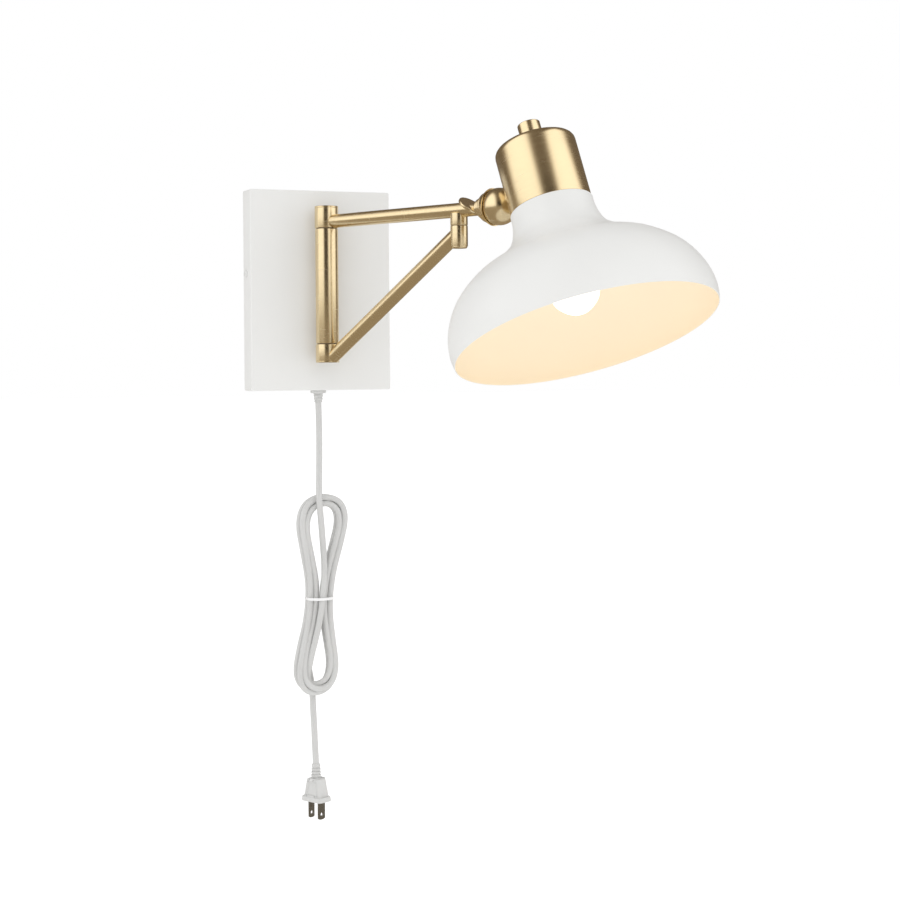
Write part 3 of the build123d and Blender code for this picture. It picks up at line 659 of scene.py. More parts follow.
def make_floor():
    """A wide pale floor under the plug."""
    bm = bmesh.new()
    bmesh.ops.create_grid(bm, x_segments=1, y_segments=1, size=FLOOR_HALF_WIDTH)
    bmesh.ops.translate(bm, vec=(0, 0, cad_box[0].z - FLOOR_DROP), verts=bm.verts)
    mesh = bpy.data.meshes.new("studio_floor")
    bm.to_mesh(mesh)
    bm.free()
    finish = Finish("studio_floor", (0.92, 0.92, 0.92), 0.9, Specular_IOR_Level=0.0)
    finish.mottle(pattern(finish.tree, (3, 3, 3)), 0.995, 1.0)
    finish.shader.inputs["Emission Color"].default_value = (*WHITE, 1)
    finish.shader.inputs["Emission Strength"].default_value = 0.2
    # Mirrors see a painted dim floor reflection; the camera sees the white floor.
    darken_in_reflections(finish)
    mesh.materials.append(finish.material)
    floor = bpy.data.objects.new("studio_floor", mesh)
    bpy.context.scene.collection.objects.link(floor)


# ------------------------------------------------------------------ cord, hank and plug

HANK_WAIST = -275.5
HANK_UPPER_REACH = 91.7
HANK_LOWER_REACH = 84.8
BUNDLE_RADIUS = 3.9
WAIST_HALF = 5.6
UPPER_BULGE = 40.6
LOWER_BULGE = 31.4


def soft_step(value):
    """0 to 1 with no corners."""
    value = min(1.0, max(0.0, value))
    return value * value * (3 - 2 * value)


def hank_point(turns):
    """The cord's centre after so many turns: down on the left, up on the right, pinched at the waist."""
    angle = -TURN / 4 - TURN * turns
    lap = math.floor(turns)
    crossing = soft_step((turns - lap - 0.14) / 0.24)
    seat = math.radians(135) + TURN / 4 * (lap + crossing)
    outward = BUNDLE_RADIUS * math.cos(seat)
    backward = BUNDLE_RADIUS * math.sin(seat)
    rise = math.cos(angle)
    side = math.sin(angle)
    reach = HANK_UPPER_REACH if rise > 0 else HANK_LOWER_REACH
    bulge = UPPER_BULGE if rise > 0 else LOWER_BULGE
    lean = 5.0 if rise > 0 else 4.0
    fan = 1.6 * math.sin(2.4 * lap + 1.3 * (side > 0) + 2.1 * (rise > 0)) * (2 * side * rise) ** 2
    half = WAIST_HALF + outward + (bulge + outward * 1.05) * rise * rise + fan
    x = -0.8 + lean * rise + side * half
    z = HANK_WAIST + (reach - BUNDLE_RADIUS / 1.41 + outward) * rise
    return (x, backward, z)


def cord_points():
    """The whole cord's control points in metres, from the gland through the hank to the plug."""
    steps = 18
    hank = [hank_point(0.2 + step / steps) for step in range(round((shape().hank_turns - 0.12) * steps))]
    route = UPPER_ROUTE + hank + LOWER_ROUTE
    return [Vector((x * MM, gland_y + y * MM, z * MM)) for x, y, z in route]


class SCONCE_OT_cord(bpy.types.Operator):
    """Makes the cord as one curve, with the hank's turns in it"""

    bl_idname = "sconce.cord"
    bl_label = "Cord"

    def execute(self, context):
        points = cord_points()
        curve = bpy.data.curves.new("mains_cord", "CURVE")
        curve.dimensions = "3D"
        curve.bevel_depth = shape().cord_diameter / 2
        curve.bevel_resolution = 5
        curve.resolution_u = 10
        curve.use_fill_caps = True
        spline = curve.splines.new("NURBS")
        spline.points.add(len(points) - 1)
        for control, point in zip(spline.points, points):
            control.co = (*point, 1)
        spline.order_u = 3
        spline.use_endpoint_u = True
        curve.materials.append(finish_for("cord_hank"))
        cord = bpy.data.objects.new("mains_cord", curve)
        context.scene.collection.objects.link(cord)
        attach(cord, "wall_mount")
        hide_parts("cord_upper_run", "cord_hank", "cord_lower_run")
        return {"FINISHED"}


class SCONCE_OT_cord_fittings(bpy.types.Operator):
    """Makes the gland and the tie round the hank"""

    bl_idname = "sconce.cord_fittings"
    bl_label = "Gland and tie"

    def execute(self, context):
        make_gland()
        make_tie()
        return {"FINISHED"}


def make_gland():
    """The bushing under the canopy with its ribbed, tapered boot."""
    low, high = span("cord_gland", gland_place)
    floor = span("canopy")[0].z
    cord = shape().cord_diameter / 2
    flange = high.x
    body = 5.0 * MM
    rib = 1.3 * MM
    outline = [(cord, low.z, 0), (cord + 0.9 * MM, low.z, 0.3 * MM)]
    boot_top = floor - 2.6 * MM
    ribs = 3
    for step in range(ribs):
        height = low.z + (boot_top - low.z) * (step + 0.5) / ribs
        radius = cord + 0.9 * MM + (body - 0.6 * MM - cord - 0.9 * MM) * (step + 0.5) / ribs
        outline += [
            (radius, height - rib / 2, 0.2 * MM), (radius - 0.5 * MM, height - rib / 4, 0),
            (radius - 0.5 * MM, height + rib / 4, 0), (radius, height + rib / 2, 0.2 * MM),
        ]
    outline += [
        (body - 0.6 * MM, boot_top, 0.2 * MM), (flange - 0.6 * MM, boot_top, 0.4 * MM),
        (flange, boot_top + 0.8 * MM, 0.3 * MM), (flange, floor, 0.2 * MM), (body, floor, 0),
        (body, high.z, 0.3 * MM), (cord, high.z, 0),
    ]
    bm = spun(outline, closed=True)
    piece("gland_boot", "cord_gland", bm, gland_place)


def make_tie():
    """The flat tie, drawn tight round the strands at the waist."""
    low, high = span("hank_tie")
    bm = bmesh.new()
    wide = (high.x - low.x) / 2 - 1.2 * MM
    back = 6.2 * MM
    outline = [(-wide, back), (wide, back), (wide, -back), (3.4 * MM, -11.2 * MM), (-4.4 * MM, -11.2 * MM),
               (-wide, -back)]
    ring = [bm.verts.new((x, y, 0)) for x, y in outline]
    for pair in zip(ring, ring[1:] + ring[:1]):
        bm.edges.new(pair)
    round_off(bm, ring, 2.4 * MM, 6, "VERTICES")
    raised = bmesh.ops.extrude_edge_only(bm, edges=bm.edges[:])
    height = 2.4 * MM
    bmesh.ops.translate(bm, vec=(0, 0, height), verts=new_corners(raised))
    face_outwards(bm)
    bmesh.ops.solidify(bm, geom=bm.faces[:], thickness=-0.8 * MM)
    face_outwards(bm)
    centre = Vector(((low.x + high.x) / 2, gland_y, (low.z + high.z - height) / 2))
    tie = piece("hank_tie_band", "hank_tie", bm, Matrix.Translation(centre))
    bevel = tie.modifiers.new("edges", "BEVEL")
    bevel.width = 0.25 * MM
    bevel.segments = 2


class SCONCE_OT_plug(bpy.types.Operator):
    bl_idname = "sconce.plug"
    bl_label = "Plug"

    def execute(self, context):
        parts = [make_plug_relief(), make_plug_body(), make_plug_blades()]
        return {"FINISHED"}


BLADE_SPACING = 12.7 * MM
BLADE_THICKNESS = 1.5 * MM
BLADE_HOLE_RADIUS = 1.5 * MM
BLADE_WIDTHS = {-1: 6.35 * MM, 1: 7.9 * MM}
PLUG_TURN = math.radians(-64)
plug_tip = Vector(LOWER_ROUTE[-1]) * MM + Vector((0, gland_y, 0))
plug_place = Matrix.Translation(plug_tip) @ Matrix.Rotation(PLUG_TURN, 4, "Z")


def make_plug_relief():
    """The ribbed relief that thickens from the cord to the grip."""
    low, _ = span("plug_strain_relief", plug_place)
    cord = shape().cord_diameter / 2
    ribs = 4
    outline = [(cord - 0.1 * MM, 0.4 * MM, 0), (cord + 0.7 * MM, 0, 0.3 * MM)]
    for step in range(ribs):
        share = (step + 0.7) / (ribs + 0.6)
        radius = cord + (0.95 + 0.85 * share) * MM
        height = low.z * share
        outline += [
            (radius, height + 0.9 * MM, 0.25 * MM), (radius, height - 0.7 * MM, 0.25 * MM),
            (radius - 0.8 * MM, height - 0.9 * MM, 0.1 * MM),
            (radius - 0.8 * MM, height - 1.7 * MM, 0.1 * MM),
        ]
    outline += [(4.5 * MM, low.z + 0.4 * MM, 0.2 * MM), (4.5 * MM, low.z - 0.5 * MM, 0)]
    bm = spun([(0, 0.4 * MM, 0), *outline, (0, low.z - 0.5 * MM, 0)], SMALL_FACETS)
    return piece("plug_relief_boot", "plug_strain_relief", bm, plug_place)


def rounded_block(low_size, high_size, low, high, corner, edge):
    """A block that tapers upwards, with rounded upright corners and softened ends."""
    bm = bmesh.new()
    bmesh.ops.create_cube(bm, size=1.0)
    for vertex in bm.verts:
        wide, deep = high_size if vertex.co.z > 0 else low_size
        vertex.co = (vertex.co.x * wide, vertex.co.y * deep, high if vertex.co.z > 0 else low)
    upright = [e for e in bm.edges if abs(e.verts[0].co.z - e.verts[1].co.z) > (high - low) / 2]
    round_off(bm, upright, corner, 7)
    rims = [e for e in bm.edges if len(e.link_faces) == 2 and e.calc_face_angle() > math.radians(50)]
    round_off(bm, rims, edge, 4)
    face_outwards(bm)
    return bm


def make_plug_body():
    """The tapered grip on its face flange, with a shallow thumb panel on each broad side."""
    low, high = span("plug_body", plug_place)
    flange_top = low.z + 4.4 * MM
    wide = high.x - low.x
    deep = high.y - low.y
    grip = rounded_block((wide * 0.8, deep * 0.86), (14.5 * MM, 12.5 * MM), flange_top - 0.5 * MM, high.z,
                         3.6 * MM, 0.9 * MM)
    panels = [f for f in grip.faces if abs(f.normal.y) > 0.95]
    bmesh.ops.inset_individual(grip, faces=panels, thickness=1.6 * MM, use_even_offset=True)
    bmesh.ops.inset_individual(
        grip, faces=panels, thickness=0.35 * MM, depth=-0.35 * MM, use_even_offset=True
    )
    flange = rounded_block((wide, deep), (wide - 1.0 * MM, deep - 1.0 * MM), low.z, flange_top, 4.2 * MM,
                           1.0 * MM)
    body = join_in(grip, flange)
    return piece("plug_grip", "plug_body", body, plug_place)


def make_plug_blades():
    """Two flat blades with rounded tips and a drilled hole, the wider one on the neutral side."""
    low, high = span("plug_blades", plug_place)
    both = bmesh.new()
    hole_level = low.z + 4.6 * MM
    for side, width in BLADE_WIDTHS.items():
        blade = bmesh.new()
        hole = bmesh.ops.create_circle(blade, cap_ends=False, radius=BLADE_HOLE_RADIUS, segments=24)["verts"]
        rim = []
        for vertex in hole:
            angle = math.atan2(vertex.co.y, vertex.co.x)
            stretch = 1 / max(abs(math.cos(angle)), abs(math.sin(angle)))
            rim.append(blade.verts.new(vertex.co.normalized() * (width / 2) * stretch))
        hole_edges = blade.edges[:]
        rim_edges = [blade.edges.new(pair) for pair in zip(rim, rim[1:] + rim[:1])]
        bmesh.ops.bridge_loops(blade, edges=hole_edges + rim_edges)
        for vertex in rim:
            if vertex.co.y > width * 0.49:
                vertex.co.y = high.z + 1.0 * MM - hole_level
            elif vertex.co.y < -width * 0.49:
                tip = (abs(vertex.co.x) / (width / 2)) ** 3
                vertex.co.y = low.z - hole_level + tip * 0.9 * MM
        upright = Matrix.Rotation(math.radians(90), 4, "Z") @ Matrix.Rotation(math.radians(90), 4, "X")
        bmesh.ops.transform(blade, matrix=upright, verts=blade.verts)
        face_outwards(blade)
        bmesh.ops.solidify(blade, geom=blade.faces[:], thickness=BLADE_THICKNESS)
        face_outwards(blade)
        centre = Matrix.Translation((side * BLADE_SPACING / 2, 0, hole_level))
        xs = [vertex.co.x for vertex in blade.verts]
        bmesh.ops.translate(blade, vec=(-(min(xs) + max(xs)) / 2, 0, 0), verts=blade.verts)
        join_in(both, blade, centre)
    blades = piece("plug_blade_pair", "plug_blades", both, plug_place)
    bevel = blades.modifiers.new("edges", "BEVEL")
    bevel.width = 0.2 * MM
    bevel.segments = 2
    return blades


# ------------------------------------------------------------------ canopy and wall hinge

class SCONCE_OT_canopy(bpy.types.Operator):
    """Makes the folded canopy and its two side screws"""

    bl_idname = "sconce.canopy"
    bl_label = "Canopy"

    def execute(self, context):
        make_canopy()
        make_side_screws()
        return {"FINISHED"}


def make_canopy():
    """A shallow box with rounded corners and a soft rim, hollow towards the wall."""
    low, high = span("canopy")
    size = high - low
    bm = bmesh.new()
    middle = Matrix.Translation((low + high) / 2)
    bmesh.ops.create_cube(bm, size=1.0, matrix=middle @ Matrix.Diagonal((*size, 1)))
    corners = [e for e in bm.edges if abs(e.verts[0].co.y - e.verts[1].co.y) > size.y / 2]
    round_off(bm, corners, shape().canopy_corner, 8)
    rim = [e for e in bm.edges if all(v.co.y < low.y + 0.01 * MM for v in e.verts)]
    round_off(bm, rim, shape().canopy_rim, 6)
    back = [f for f in bm.faces if f.normal.y > 0.9]
    bmesh.ops.inset_region(bm, faces=back, thickness=shape().canopy_wall, use_even_offset=True)
    opened = bmesh.ops.extrude_face_region(bm, geom=back)
    bmesh.ops.delete(bm, geom=back, context="FACES")
    bmesh.ops.translate(bm, vec=(0, shape().canopy_wall - size.y, 0), verts=new_corners(opened))
    face_outwards(bm)
    piece("canopy_cover", "canopy", bm)


def make_side_screws():
    """Slotted round-head screws in the canopy's two sides."""
    low, high = span("canopy_side_screws")
    level = (low.z + high.z) / 2
    depth = (low.y + high.y) / 2
    half_width = span("canopy")[1].x
    both = bmesh.new()
    rise = high.x - half_width
    shank = 1.9 * MM
    rim = 3.5 * MM
    for side in (-1, 1):
        head = disc_stack(
            [(shank, -7.5 * MM, 0.3 * MM), (shank, 0, 0), (rim, 0, 0.15 * MM), (rim, 0.6 * MM, 0.3 * MM),
             (2.4 * MM, rise, 0.5 * MM)],
            SMALL_FACETS,
        )
        slot_faces = [f for f in head.faces if f.calc_center_median().z > rise - 0.05 * MM]
        bmesh.ops.delete(head, geom=slot_faces, context="FACES")
        slot = bmesh.ops.extrude_edge_only(head, edges=open_edges(head))
        bmesh.ops.scale(head, vec=(0.86, 0.28, 1), verts=new_corners(slot))
        sunk = bmesh.ops.extrude_edge_only(head, edges=open_edges(head))
        bmesh.ops.translate(head, vec=(0, 0, -0.7 * MM), verts=new_corners(sunk))
        bmesh.ops.holes_fill(head, edges=open_edges(head))
        face_outwards(head)
        outward = Matrix.Translation((side * half_width, depth, level))
        join_in(both, head, outward @ Matrix.Rotation(side * math.radians(90), 4, "Y"))
    piece("side_screw_pair", "canopy_side_screws", both)


class SCONCE_OT_wall_hinge(bpy.types.Operator):
    """Makes the barrel, its washers and the two spacers that hold it off the canopy"""

    bl_idname = "sconce.wall_hinge"
    bl_label = "Wall hinge"

    def execute(self, context):
        brass = satin_brass("wall_mount", hinge_place)
        bar_piece("hinge_barrel", "barrel_tube", hinge_place, brass, shape().fine_edge)
        for end in ("upper", "lower"):
            washer = end + "_thrust_washer"
            bar_piece(end + "_washer_ring", washer, hinge_place, finish_for(washer), 0.1 * MM)
        for end in ("upper", "lower"):
            make_spacer(end + "_standoff", end + "_spacer")
        return {"FINISHED"}


def make_spacer(node, name):
    """A turned spacer with a foot ring against the canopy."""
    low, high = span(node)
    radius = (high.x - low.x) / 2
    face = span("canopy")[0].y
    start = Vector((0, pivot.y, (low.z + high.z) / 2))
    place = place_along(start, Vector((0, face, start.z)))
    reach = face - pivot.y
    outline = [
        (radius - 0.5 * MM, 6.0 * MM, 0), (radius - 0.5 * MM, reach - 3.0 * MM, 0.3 * MM),
        (radius, reach - 2.4 * MM, 0.3 * MM), (radius, reach, 0.2 * MM),
    ]
    bm = disc_stack(outline)
    piece(name, node, bm, place, satin_brass("spacers", place))


# ------------------------------------------------------------------ swing arm

class SCONCE_OT_swing_arm(bpy.types.Operator):
    """Makes the arm's sleeves, caps, level tube and brace"""

    bl_idname = "sconce.swing_arm"
    bl_label = "Swing arm"

    def execute(self, context):
        brass = satin_brass("swing_arm", arm_place)
        for end in ("upper", "lower"):
            bar_piece(end + "_sleeve", f"arm_{end}_sleeve", arm_place, brass, shape().fine_edge)
        for end, foot, top in (("upper", 0.2 * MM, 0.7 * MM), ("lower", 0.7 * MM, 0.2 * MM)):
            low, high = span(end + "_sleeve_cap", arm_place)
            cap = disc_stack([(high.x, low.z, foot), (high.x, high.z, top)])
            piece(end + "_cap", end + "_sleeve_cap", cap, arm_place, brass)
        make_level_tube()
        make_brace()
        return {"FINISHED"}


TUBE_LEVEL = ((arm_place.inverted() @ ball_centre)).z
end_low, end_high = span("arm_end_disc", arm_place)
END_SLOPE = math.radians(52)
END_DISC_THICKNESS = 2.4 * MM
end_normal = Vector((math.cos(END_SLOPE), 0, math.sin(END_SLOPE)))
end_centre = (end_low + end_high) / 2
level_place = arm_place @ Matrix.Translation((0, 0, TUBE_LEVEL)) @ SPIN_ABOUT_X


def tube_radius():
    """The arm tube's outer radius."""
    low, high = span("arm_level_tube", arm_place)
    return (high.y - low.y) / 2


def make_level_tube():
    """The level tube, cut off on a slant at its far end."""
    radius = tube_radius()
    sleeve = span("arm_upper_sleeve", arm_place)[1].x
    far = span("arm_level_tube", arm_place)[1].x
    bm = bar(radius, sleeve - 1.2 * MM, far + 20 * MM, 0)
    bmesh.ops.transform(bm, matrix=SPIN_ABOUT_X, verts=bm.verts)
    face = end_centre - Vector((0, 0, TUBE_LEVEL)) - end_normal * END_DISC_THICKNESS / 2
    cut_off(bm, face, end_normal)
    place = arm_place @ Matrix.Translation((0, 0, TUBE_LEVEL))
    brass = satin_brass("level_tube", level_place)
    piece("level_tube", "arm_level_tube", bm, place, brass)


def make_brace():
    """The sloping tube between the lower sleeve and the outer joint."""
    radius = tube_radius()
    floor = span("lower_sleeve_cap", arm_place)[0].z
    foot = Vector((0, 0, floor + 0.2 * MM))
    joint_low, joint_high = span("outer_joint_sleeve", arm_place)
    joint_x = (joint_low.x + joint_high.x) / 2
    seam = span("outer_joint_stub", arm_place)[0].z
    top = Vector((joint_x, 0, seam - 5.6 * MM))
    line = place_along(foot, top)
    place = arm_place @ line
    length = (top - foot).length
    bm = bar(radius, 1.0 * MM, length - 3.0 * MM, 0)
    to_line = line.inverted()
    cut_off(bm, to_line @ Vector((0, 0, floor)), to_line.to_3x3() @ -UP)
    piece("brace_tube", "arm_brace_tube", bm, place, satin_brass("brace", place))


class SCONCE_OT_outer_joint(bpy.types.Operator):
    """Makes the upright joint under the level tube, where the brace is fastened"""

    bl_idname = "sconce.outer_joint"
    bl_label = "Outer joint"

    def execute(self, context):
        low, high = span("outer_joint_sleeve", arm_place)
        radius = (high.y - low.y) / 2
        centre = Vector(((low.x + high.x) / 2, 0, 0))
        place = arm_place @ Matrix.Translation(centre)
        brass = satin_brass("outer_joint", place)
        edge = shape().fine_edge
        sleeve = bar(radius, low.z, high.z, edge)
        piece("joint_sleeve", "outer_joint_sleeve", sleeve, place, brass)
        stub_low, _ = span("outer_joint_stub", arm_place)
        stub = bar(radius, stub_low.z, TUBE_LEVEL - 2.5 * MM, edge)
        piece("joint_stub", "outer_joint_stub", stub, place, brass)
        bar_piece("joint_seal_ring", "outer_joint_seal", place, finish_for("outer_joint_seal"), 0)
        bolt_low, _ = span("outer_joint_bolt", place)
        head = disc_stack(
            [(radius - 1.2 * MM, bolt_low.z, 0.5 * MM), (radius - 0.6 * MM, bolt_low.z + 0.7 * MM, 0.3 * MM),
             (radius - 0.6 * MM, low.z, 0)]
        )
        piece("joint_bolt_head", "outer_joint_bolt", head, place, brass)
        return {"FINISHED"}


# ------------------------------------------------------------------ neck and knuckle

class SCONCE_OT_knuckle(bpy.types.Operator):
    """Makes the slanted end disc, the neck, the ringed socket and the ball"""

    bl_idname = "sconce.knuckle"
    bl_label = "Knuckle"

    def execute(self, context):
        make_end_disc()
        make_neck()
        make_socket()
        make_ball()
        return {"FINISHED"}


def make_end_disc():
    """The slanted disc that closes the level tube, with a bright rounded rim."""
    place = arm_place @ place_along(end_centre, end_centre + end_normal)
    radius = radius_of("arm_end_disc", place)
    half = END_DISC_THICKNESS / 2
    outline = [(radius, -half, 0.7 * MM), (radius, half, 0.7 * MM)]
    bm = disc_stack(outline)
    piece("end_disc", "arm_end_disc", bm, place, satin_brass("end_disc", place))


def make_neck():
    """The turned neck: a stem out of the disc, then a short collar and the spigot."""
    _, high = span("knuckle_neck", knuckle_place)
    collar = radius_of("knuckle_neck", knuckle_place @ SPIN_ABOUT_X)
    collar = min(collar, 7.9 * MM)
    back = span("knuckle_socket", knuckle_place)[0].x
    start = back - 3.3 * MM
    stem = 4.7 * MM
    outline = [
        (stem, start - 20 * MM, 0), (stem, start, 0.4 * MM), (collar, start, 0.8 * MM),
        (collar, back - 0.05 * MM, 0.7 * MM), (3.5 * MM, back - 0.05 * MM, 0), (3.5 * MM, high.x, 0.2 * MM),
    ]
    bm = disc_stack(outline)
    bmesh.ops.transform(bm, matrix=SPIN_ABOUT_X, verts=bm.verts)
    to_knuckle = knuckle_place.inverted() @ arm_place
    normal = (to_knuckle.to_3x3() @ end_normal).normalized()
    cut_off(bm, to_knuckle @ end_centre, normal, keep_ahead=True)
    piece("neck", "knuckle_neck", bm, knuckle_place, satin_brass("knuckle", knuckle_place @ SPIN_ABOUT_X))


def make_socket():
    """The socket: two raised rings, then a shell that holds the back of the ball."""
    place = knuckle_place @ SPIN_ABOUT_X
    back = span("knuckle_socket", knuckle_place)[0].x
    inner = 15.5 * MM
    outer = inner + 1.3 * MM
    lip = -6.6 * MM
    outline = [
        (3.55 * MM, back, 0), (9.2 * MM, back, 0.7 * MM), (9.2 * MM, back + 1.9 * MM, 0.4 * MM),
        (8.2 * MM, back + 2.3 * MM, 0.2 * MM), (8.2 * MM, back + 3.3 * MM, 0.2 * MM),
        (11.6 * MM, back + 4.0 * MM, 0.4 * MM), (12.2 * MM, back + 5.0 * MM, 0.3 * MM),
        (12.2 * MM, back + 6.2 * MM, 0.3 * MM),
    ]
    start = math.acos(12.4 * MM / outer)
    end = math.asin(-lip / outer)
    steps = 12
    for step in range(steps + 1):
        angle = start + (end - start) * step / steps
        outline.append((outer * math.cos(angle), -outer * math.sin(angle), 0))
    outline.append((inner * math.cos(math.asin(-lip / inner)), lip, 0.2 * MM))
    for step in range(1, steps + 1):
        angle = math.asin(-lip / inner) + (math.radians(76) - math.asin(-lip / inner)) * step / steps
        outline.append((inner * math.cos(angle), -inner * math.sin(angle), 0))
    bm = spun(outline, closed=True)
    piece("ball_socket", "knuckle_socket", bm, place, satin_brass("knuckle", place))


def make_ball():
    """The ball and its saddle against the cup."""
    radius = 15.2 * MM
    saddle = 7.5 * MM
    cup_radius = radius_of("switch_cup", head_place)
    reach = cup_offset - cup_radius + 1.5 * MM
    steps = 24
    outline = []
    last = math.acos(saddle / radius)
    for step in range(steps + 1):
        angle = -math.pi / 2 + (last + math.pi / 2) * step / steps
        outline.append((radius * math.cos(angle), radius * math.sin(angle), 0))
    outline += [(saddle, reach, 0), (0, reach, 0)]
    bm = spun(outline)
    place = ball_place @ SPIN_ABOUT_X
    piece("ball", "knuckle_ball", bm, place, satin_brass("ball", place))


# ------------------------------------------------------------------ cup, knob, shade, holder and bulb

class SCONCE_OT_cup(bpy.types.Operator):
    """Makes the switch cup and its knob"""

    bl_idname = "sconce.cup"
    bl_label = "Cup and knob"

    def execute(self, context):
        brass = satin_brass("lamp_head", head_place)
        low, high = span("switch_cup", head_place)
        radius = high.x
        wall = 1.4 * MM
        corner = shape().cup_corner
        outline = [
            (radius, low.z, 0.3 * MM), (radius, high.z, corner), (5.0 * MM, high.z, 0.2 * MM),
            (5.0 * MM, high.z - wall, 0), (radius - wall, high.z - wall, corner - wall),
            (radius - wall, low.z, 0.3 * MM),
        ]
        piece("cup", "switch_cup", spun(outline, shape().turned_facets, closed=True), head_place, brass)
        make_knob(brass)
        return {"FINISHED"}


def make_knob(brass):
    """The plain knob with a narrow foot and a dished top."""
    low, high = span("switch_knob", head_place)
    radius = high.x
    outline = [
        (radius - 2.0 * MM, low.z, 0.2 * MM), (radius - 2.0 * MM, low.z + 1.8 * MM, 0.3 * MM),
        (radius, low.z + 3.2 * MM, 0.4 * MM), (radius, high.z - 0.1 * MM, 0.7 * MM),
        (radius - 1.4 * MM, high.z, 0.3 * MM), (radius - 2.2 * MM, high.z - 0.3 * MM, 0),
    ]
    bm = spun([(0, low.z, 0), *outline, (0, high.z - 0.4 * MM, 0)])
    piece("knob_turned", "switch_knob", bm, head_place, satin_brass("knob", head_place))


SHADE_OUTLINE = [
    (33.4, 4.5), (39.4, 25.1), (53.4, 37.1), (79.0, 50.9), (96.0, 67.5), (106.4, 102.5), (105.2, 109.7),
]


class SCONCE_OT_shade(bpy.types.Operator):
    """Makes the spun shade, white outside and cream inside; the cream is partly the paint and partly painted warm
    light from the bulb
    """

    bl_idname = "sconce.shade"
    bl_label = "Shade"

    def execute(self, context):
        top = span("switch_cup", head_place)[0].z
        wall = shape().shade_wall
        neck = SHADE_OUTLINE[0][0] * MM
        points = [(neck, top - 2 * MM)] + [(radius * MM, top - drop * MM) for radius, drop in SHADE_OUTLINE]
        outer = smooth_line(points, 9)
        inner = moved_in(outer, wall)
        hole = 20.0 * MM
        outline = [(neck, top, 0.8 * MM)] + [(*point, 0) for point in outer[:-1]]
        outline += [(*outer[-1], 0.35 * MM), (*inner[-1], 0.35 * MM)]
        outline += [(*point, 0) for point in inner[-2::-1]]
        outline += [(neck - wall, top - wall, 0.4 * MM), (hole, top - wall, 0), (hole, top, 0)]
        bm = spun(outline, shape().turned_facets, closed=True)
        focus = Vector((0, 0, top - 70 * MM))
        for face in bm.faces:
            outward = face.calc_center_median() - focus
            face.material_index = 0 if face.normal.dot(outward) > 0 else 1
        made = piece("spun_shade", "shade", bm, head_place)
        # The inside gets the cream finish, which is partly painted warm light from the bulb.
        made.data.materials.append(kept_finish("inside_coat_and_painted_glow", plain_finish))
        return {"FINISHED"}


class SCONCE_OT_lamp_holder(bpy.types.Operator):
    """Makes the lamp holder and the ring that clamps the shade"""

    bl_idname = "sconce.lamp_holder"
    bl_label = "Lamp holder"

    def execute(self, context):
        low, high = span("lamp_holder", head_place)
        radius = high.x
        bore = radius - 3.0 * MM
        outline = [(radius, low.z, 0.8 * MM)]
        pitch = 2.5 * MM
        threads = 9
        for step in range(threads):
            level = low.z + 4 * MM + step * pitch
            outline += [(radius, level, 0.2 * MM), (radius - 0.7 * MM, level + pitch * 0.3, 0.2 * MM),
                        (radius - 0.7 * MM, level + pitch * 0.6, 0.2 * MM),
                        (radius, level + pitch * 0.9, 0.2 * MM)]
        outline += [(radius, high.z, 0.8 * MM), (0, high.z, 0), (0, high.z - 6 * MM, 0),
                    (bore, high.z - 6 * MM, 0),
                    (bore, low.z, 0.6 * MM)]
        bm = spun(outline, closed=True)
        piece("threaded_holder", "lamp_holder", bm, head_place)
        low, high = span("shade_ring", head_place)
        rim = high.x
        outline = [
            (radius, high.z, 0), (rim, high.z, 0.2 * MM), (rim, high.z - 2.4 * MM, 0.6 * MM),
            (radius + 4 * MM, high.z - 3.4 * MM, 0.4 * MM), (radius + 3 * MM, low.z, 0.5 * MM),
            (radius, low.z, 0),
        ]
        bm = spun(outline, closed=True)
        piece("clamp_ring", "shade_ring", bm, head_place)
        return {"FINISHED"}


class SCONCE_OT_bulb(bpy.types.Operator):
    """Makes the bulb's frosted glass and its threaded cap"""

    bl_idname = "sconce.bulb"
    bl_label = "Bulb"

    def execute(self, context):
        low, high = span("bulb_glass", head_place)
        radius = high.x
        centre = low.z + radius
        throat = 10.9 * MM
        tip = low.z + 2.6 * MM
        line = [
            (throat, high.z), (throat + 0.8 * MM, high.z - 4 * MM), (throat + 3.6 * MM, high.z - 13 * MM),
            (radius * 0.93, centre + radius * 0.30), (radius * 0.96, centre),
            (radius * 0.88, centre - radius * 0.28),
            (radius * 0.66, centre - radius * 0.55), (radius * 0.34, tip + 2.0 * MM), (0, tip),
        ]
        side = smooth_line(line, 8)
        outline = [(0, high.z, 0)] + [(*point, 0) for point in side[:-1]] + [(0, tip, 0)]
        bm = spun(outline)
        piece("bulb_envelope", "bulb_glass", bm, head_place)
        make_bulb_cap()
        return {"FINISHED"}


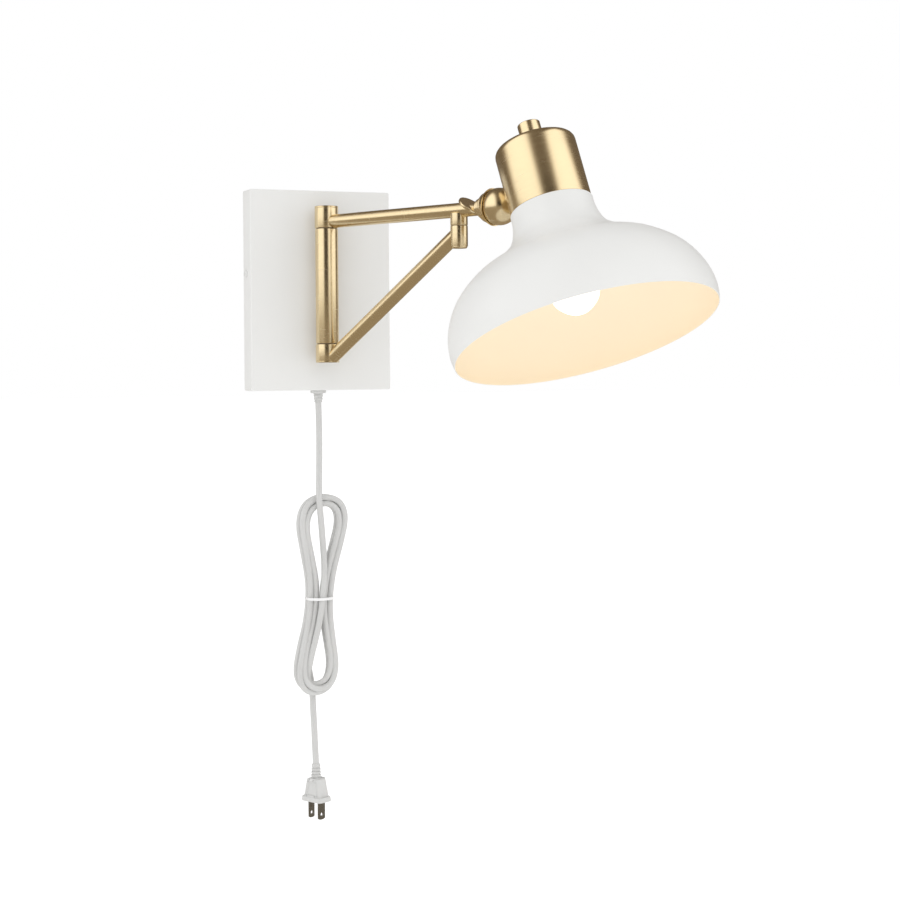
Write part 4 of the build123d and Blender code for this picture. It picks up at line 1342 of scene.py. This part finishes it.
def make_bulb_cap():
    """The bulb's cap with its rolled thread and centre contact."""
    low, high = span("bulb_cap", head_place)
    radius = high.x
    turns = 5
    pitch = (high.z - low.z) * 0.7 / turns
    outline = [(radius - 0.3 * MM, low.z, 0.2 * MM)]
    for turn in range(turns):
        start = low.z + 2 * MM + turn * pitch
        outline += [(radius - 0.9 * MM, start, 0.6 * MM), (radius - 0.1 * MM, start + pitch / 2, 0.8 * MM)]
    outline += [(radius - 0.9 * MM, low.z + 2 * MM + turns * pitch, 0.5 * MM),
                (4.5 * MM, high.z - 1.5 * MM, 0.3 * MM),
                (4.5 * MM, high.z, 0.5 * MM)]
    bm = disc_stack(outline)
    piece("threaded_cap", "bulb_cap", bm, head_place)


class SCONCE_OT_hidden_parts(bpy.types.Operator):
    """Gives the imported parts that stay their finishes"""

    bl_idname = "sconce.hidden_parts"
    bl_label = "Parts inside"

    def execute(self, context):
        for node, part in frame["nodes"].items():
            if not part.hide_render:
                part.data.materials.clear()
                part.data.materials.append(finish_for(node))
        return {"FINISHED"}


# ------------------------------------------------------------------ panel and registration

STEPS = (
    SCONCE_OT_stage, SCONCE_OT_cord, SCONCE_OT_cord_fittings, SCONCE_OT_plug, SCONCE_OT_canopy,
    SCONCE_OT_wall_hinge, SCONCE_OT_swing_arm, SCONCE_OT_outer_joint, SCONCE_OT_knuckle, SCONCE_OT_cup,
    SCONCE_OT_shade, SCONCE_OT_lamp_holder, SCONCE_OT_bulb, SCONCE_OT_hidden_parts,
)


class SCONCE_PT_panel(bpy.types.Panel):
    """Lists the sconce's pieces and their sizes"""

    bl_idname = "SCONCE_PT_panel"
    bl_label = "Wall Sconce"
    bl_space_type = "VIEW_3D"
    bl_region_type = "UI"
    bl_category = "Sconce"

    def draw(self, context):
        for group in (context.scene.sconce_shape, context.scene.sconce_colours):
            box = self.layout.box()
            for name in group.__annotations__:
                box.prop(group, name)
        for step in STEPS:
            self.layout.operator(step.bl_idname)


CLASSES = (SconceShape, SconceColours, *STEPS, SCONCE_PT_panel)


def register():
    """Registers the classes and the two groups of values."""
    for item in CLASSES:
        bpy.utils.register_class(item)
    bpy.types.Scene.sconce_shape = PointerProperty(type=SconceShape)
    bpy.types.Scene.sconce_colours = PointerProperty(type=SconceColours)


def unregister():
    """Takes the classes and values away again."""
    del bpy.types.Scene.sconce_colours
    del bpy.types.Scene.sconce_shape
    for item in reversed(CLASSES):
        bpy.utils.unregister_class(item)


def main():
    """Makes every piece in order."""
    register()
    for step in STEPS:
        group, name = step.bl_idname.split(".")
        getattr(getattr(bpy.ops, group), name)()


if __name__ == "__main__":
    main()
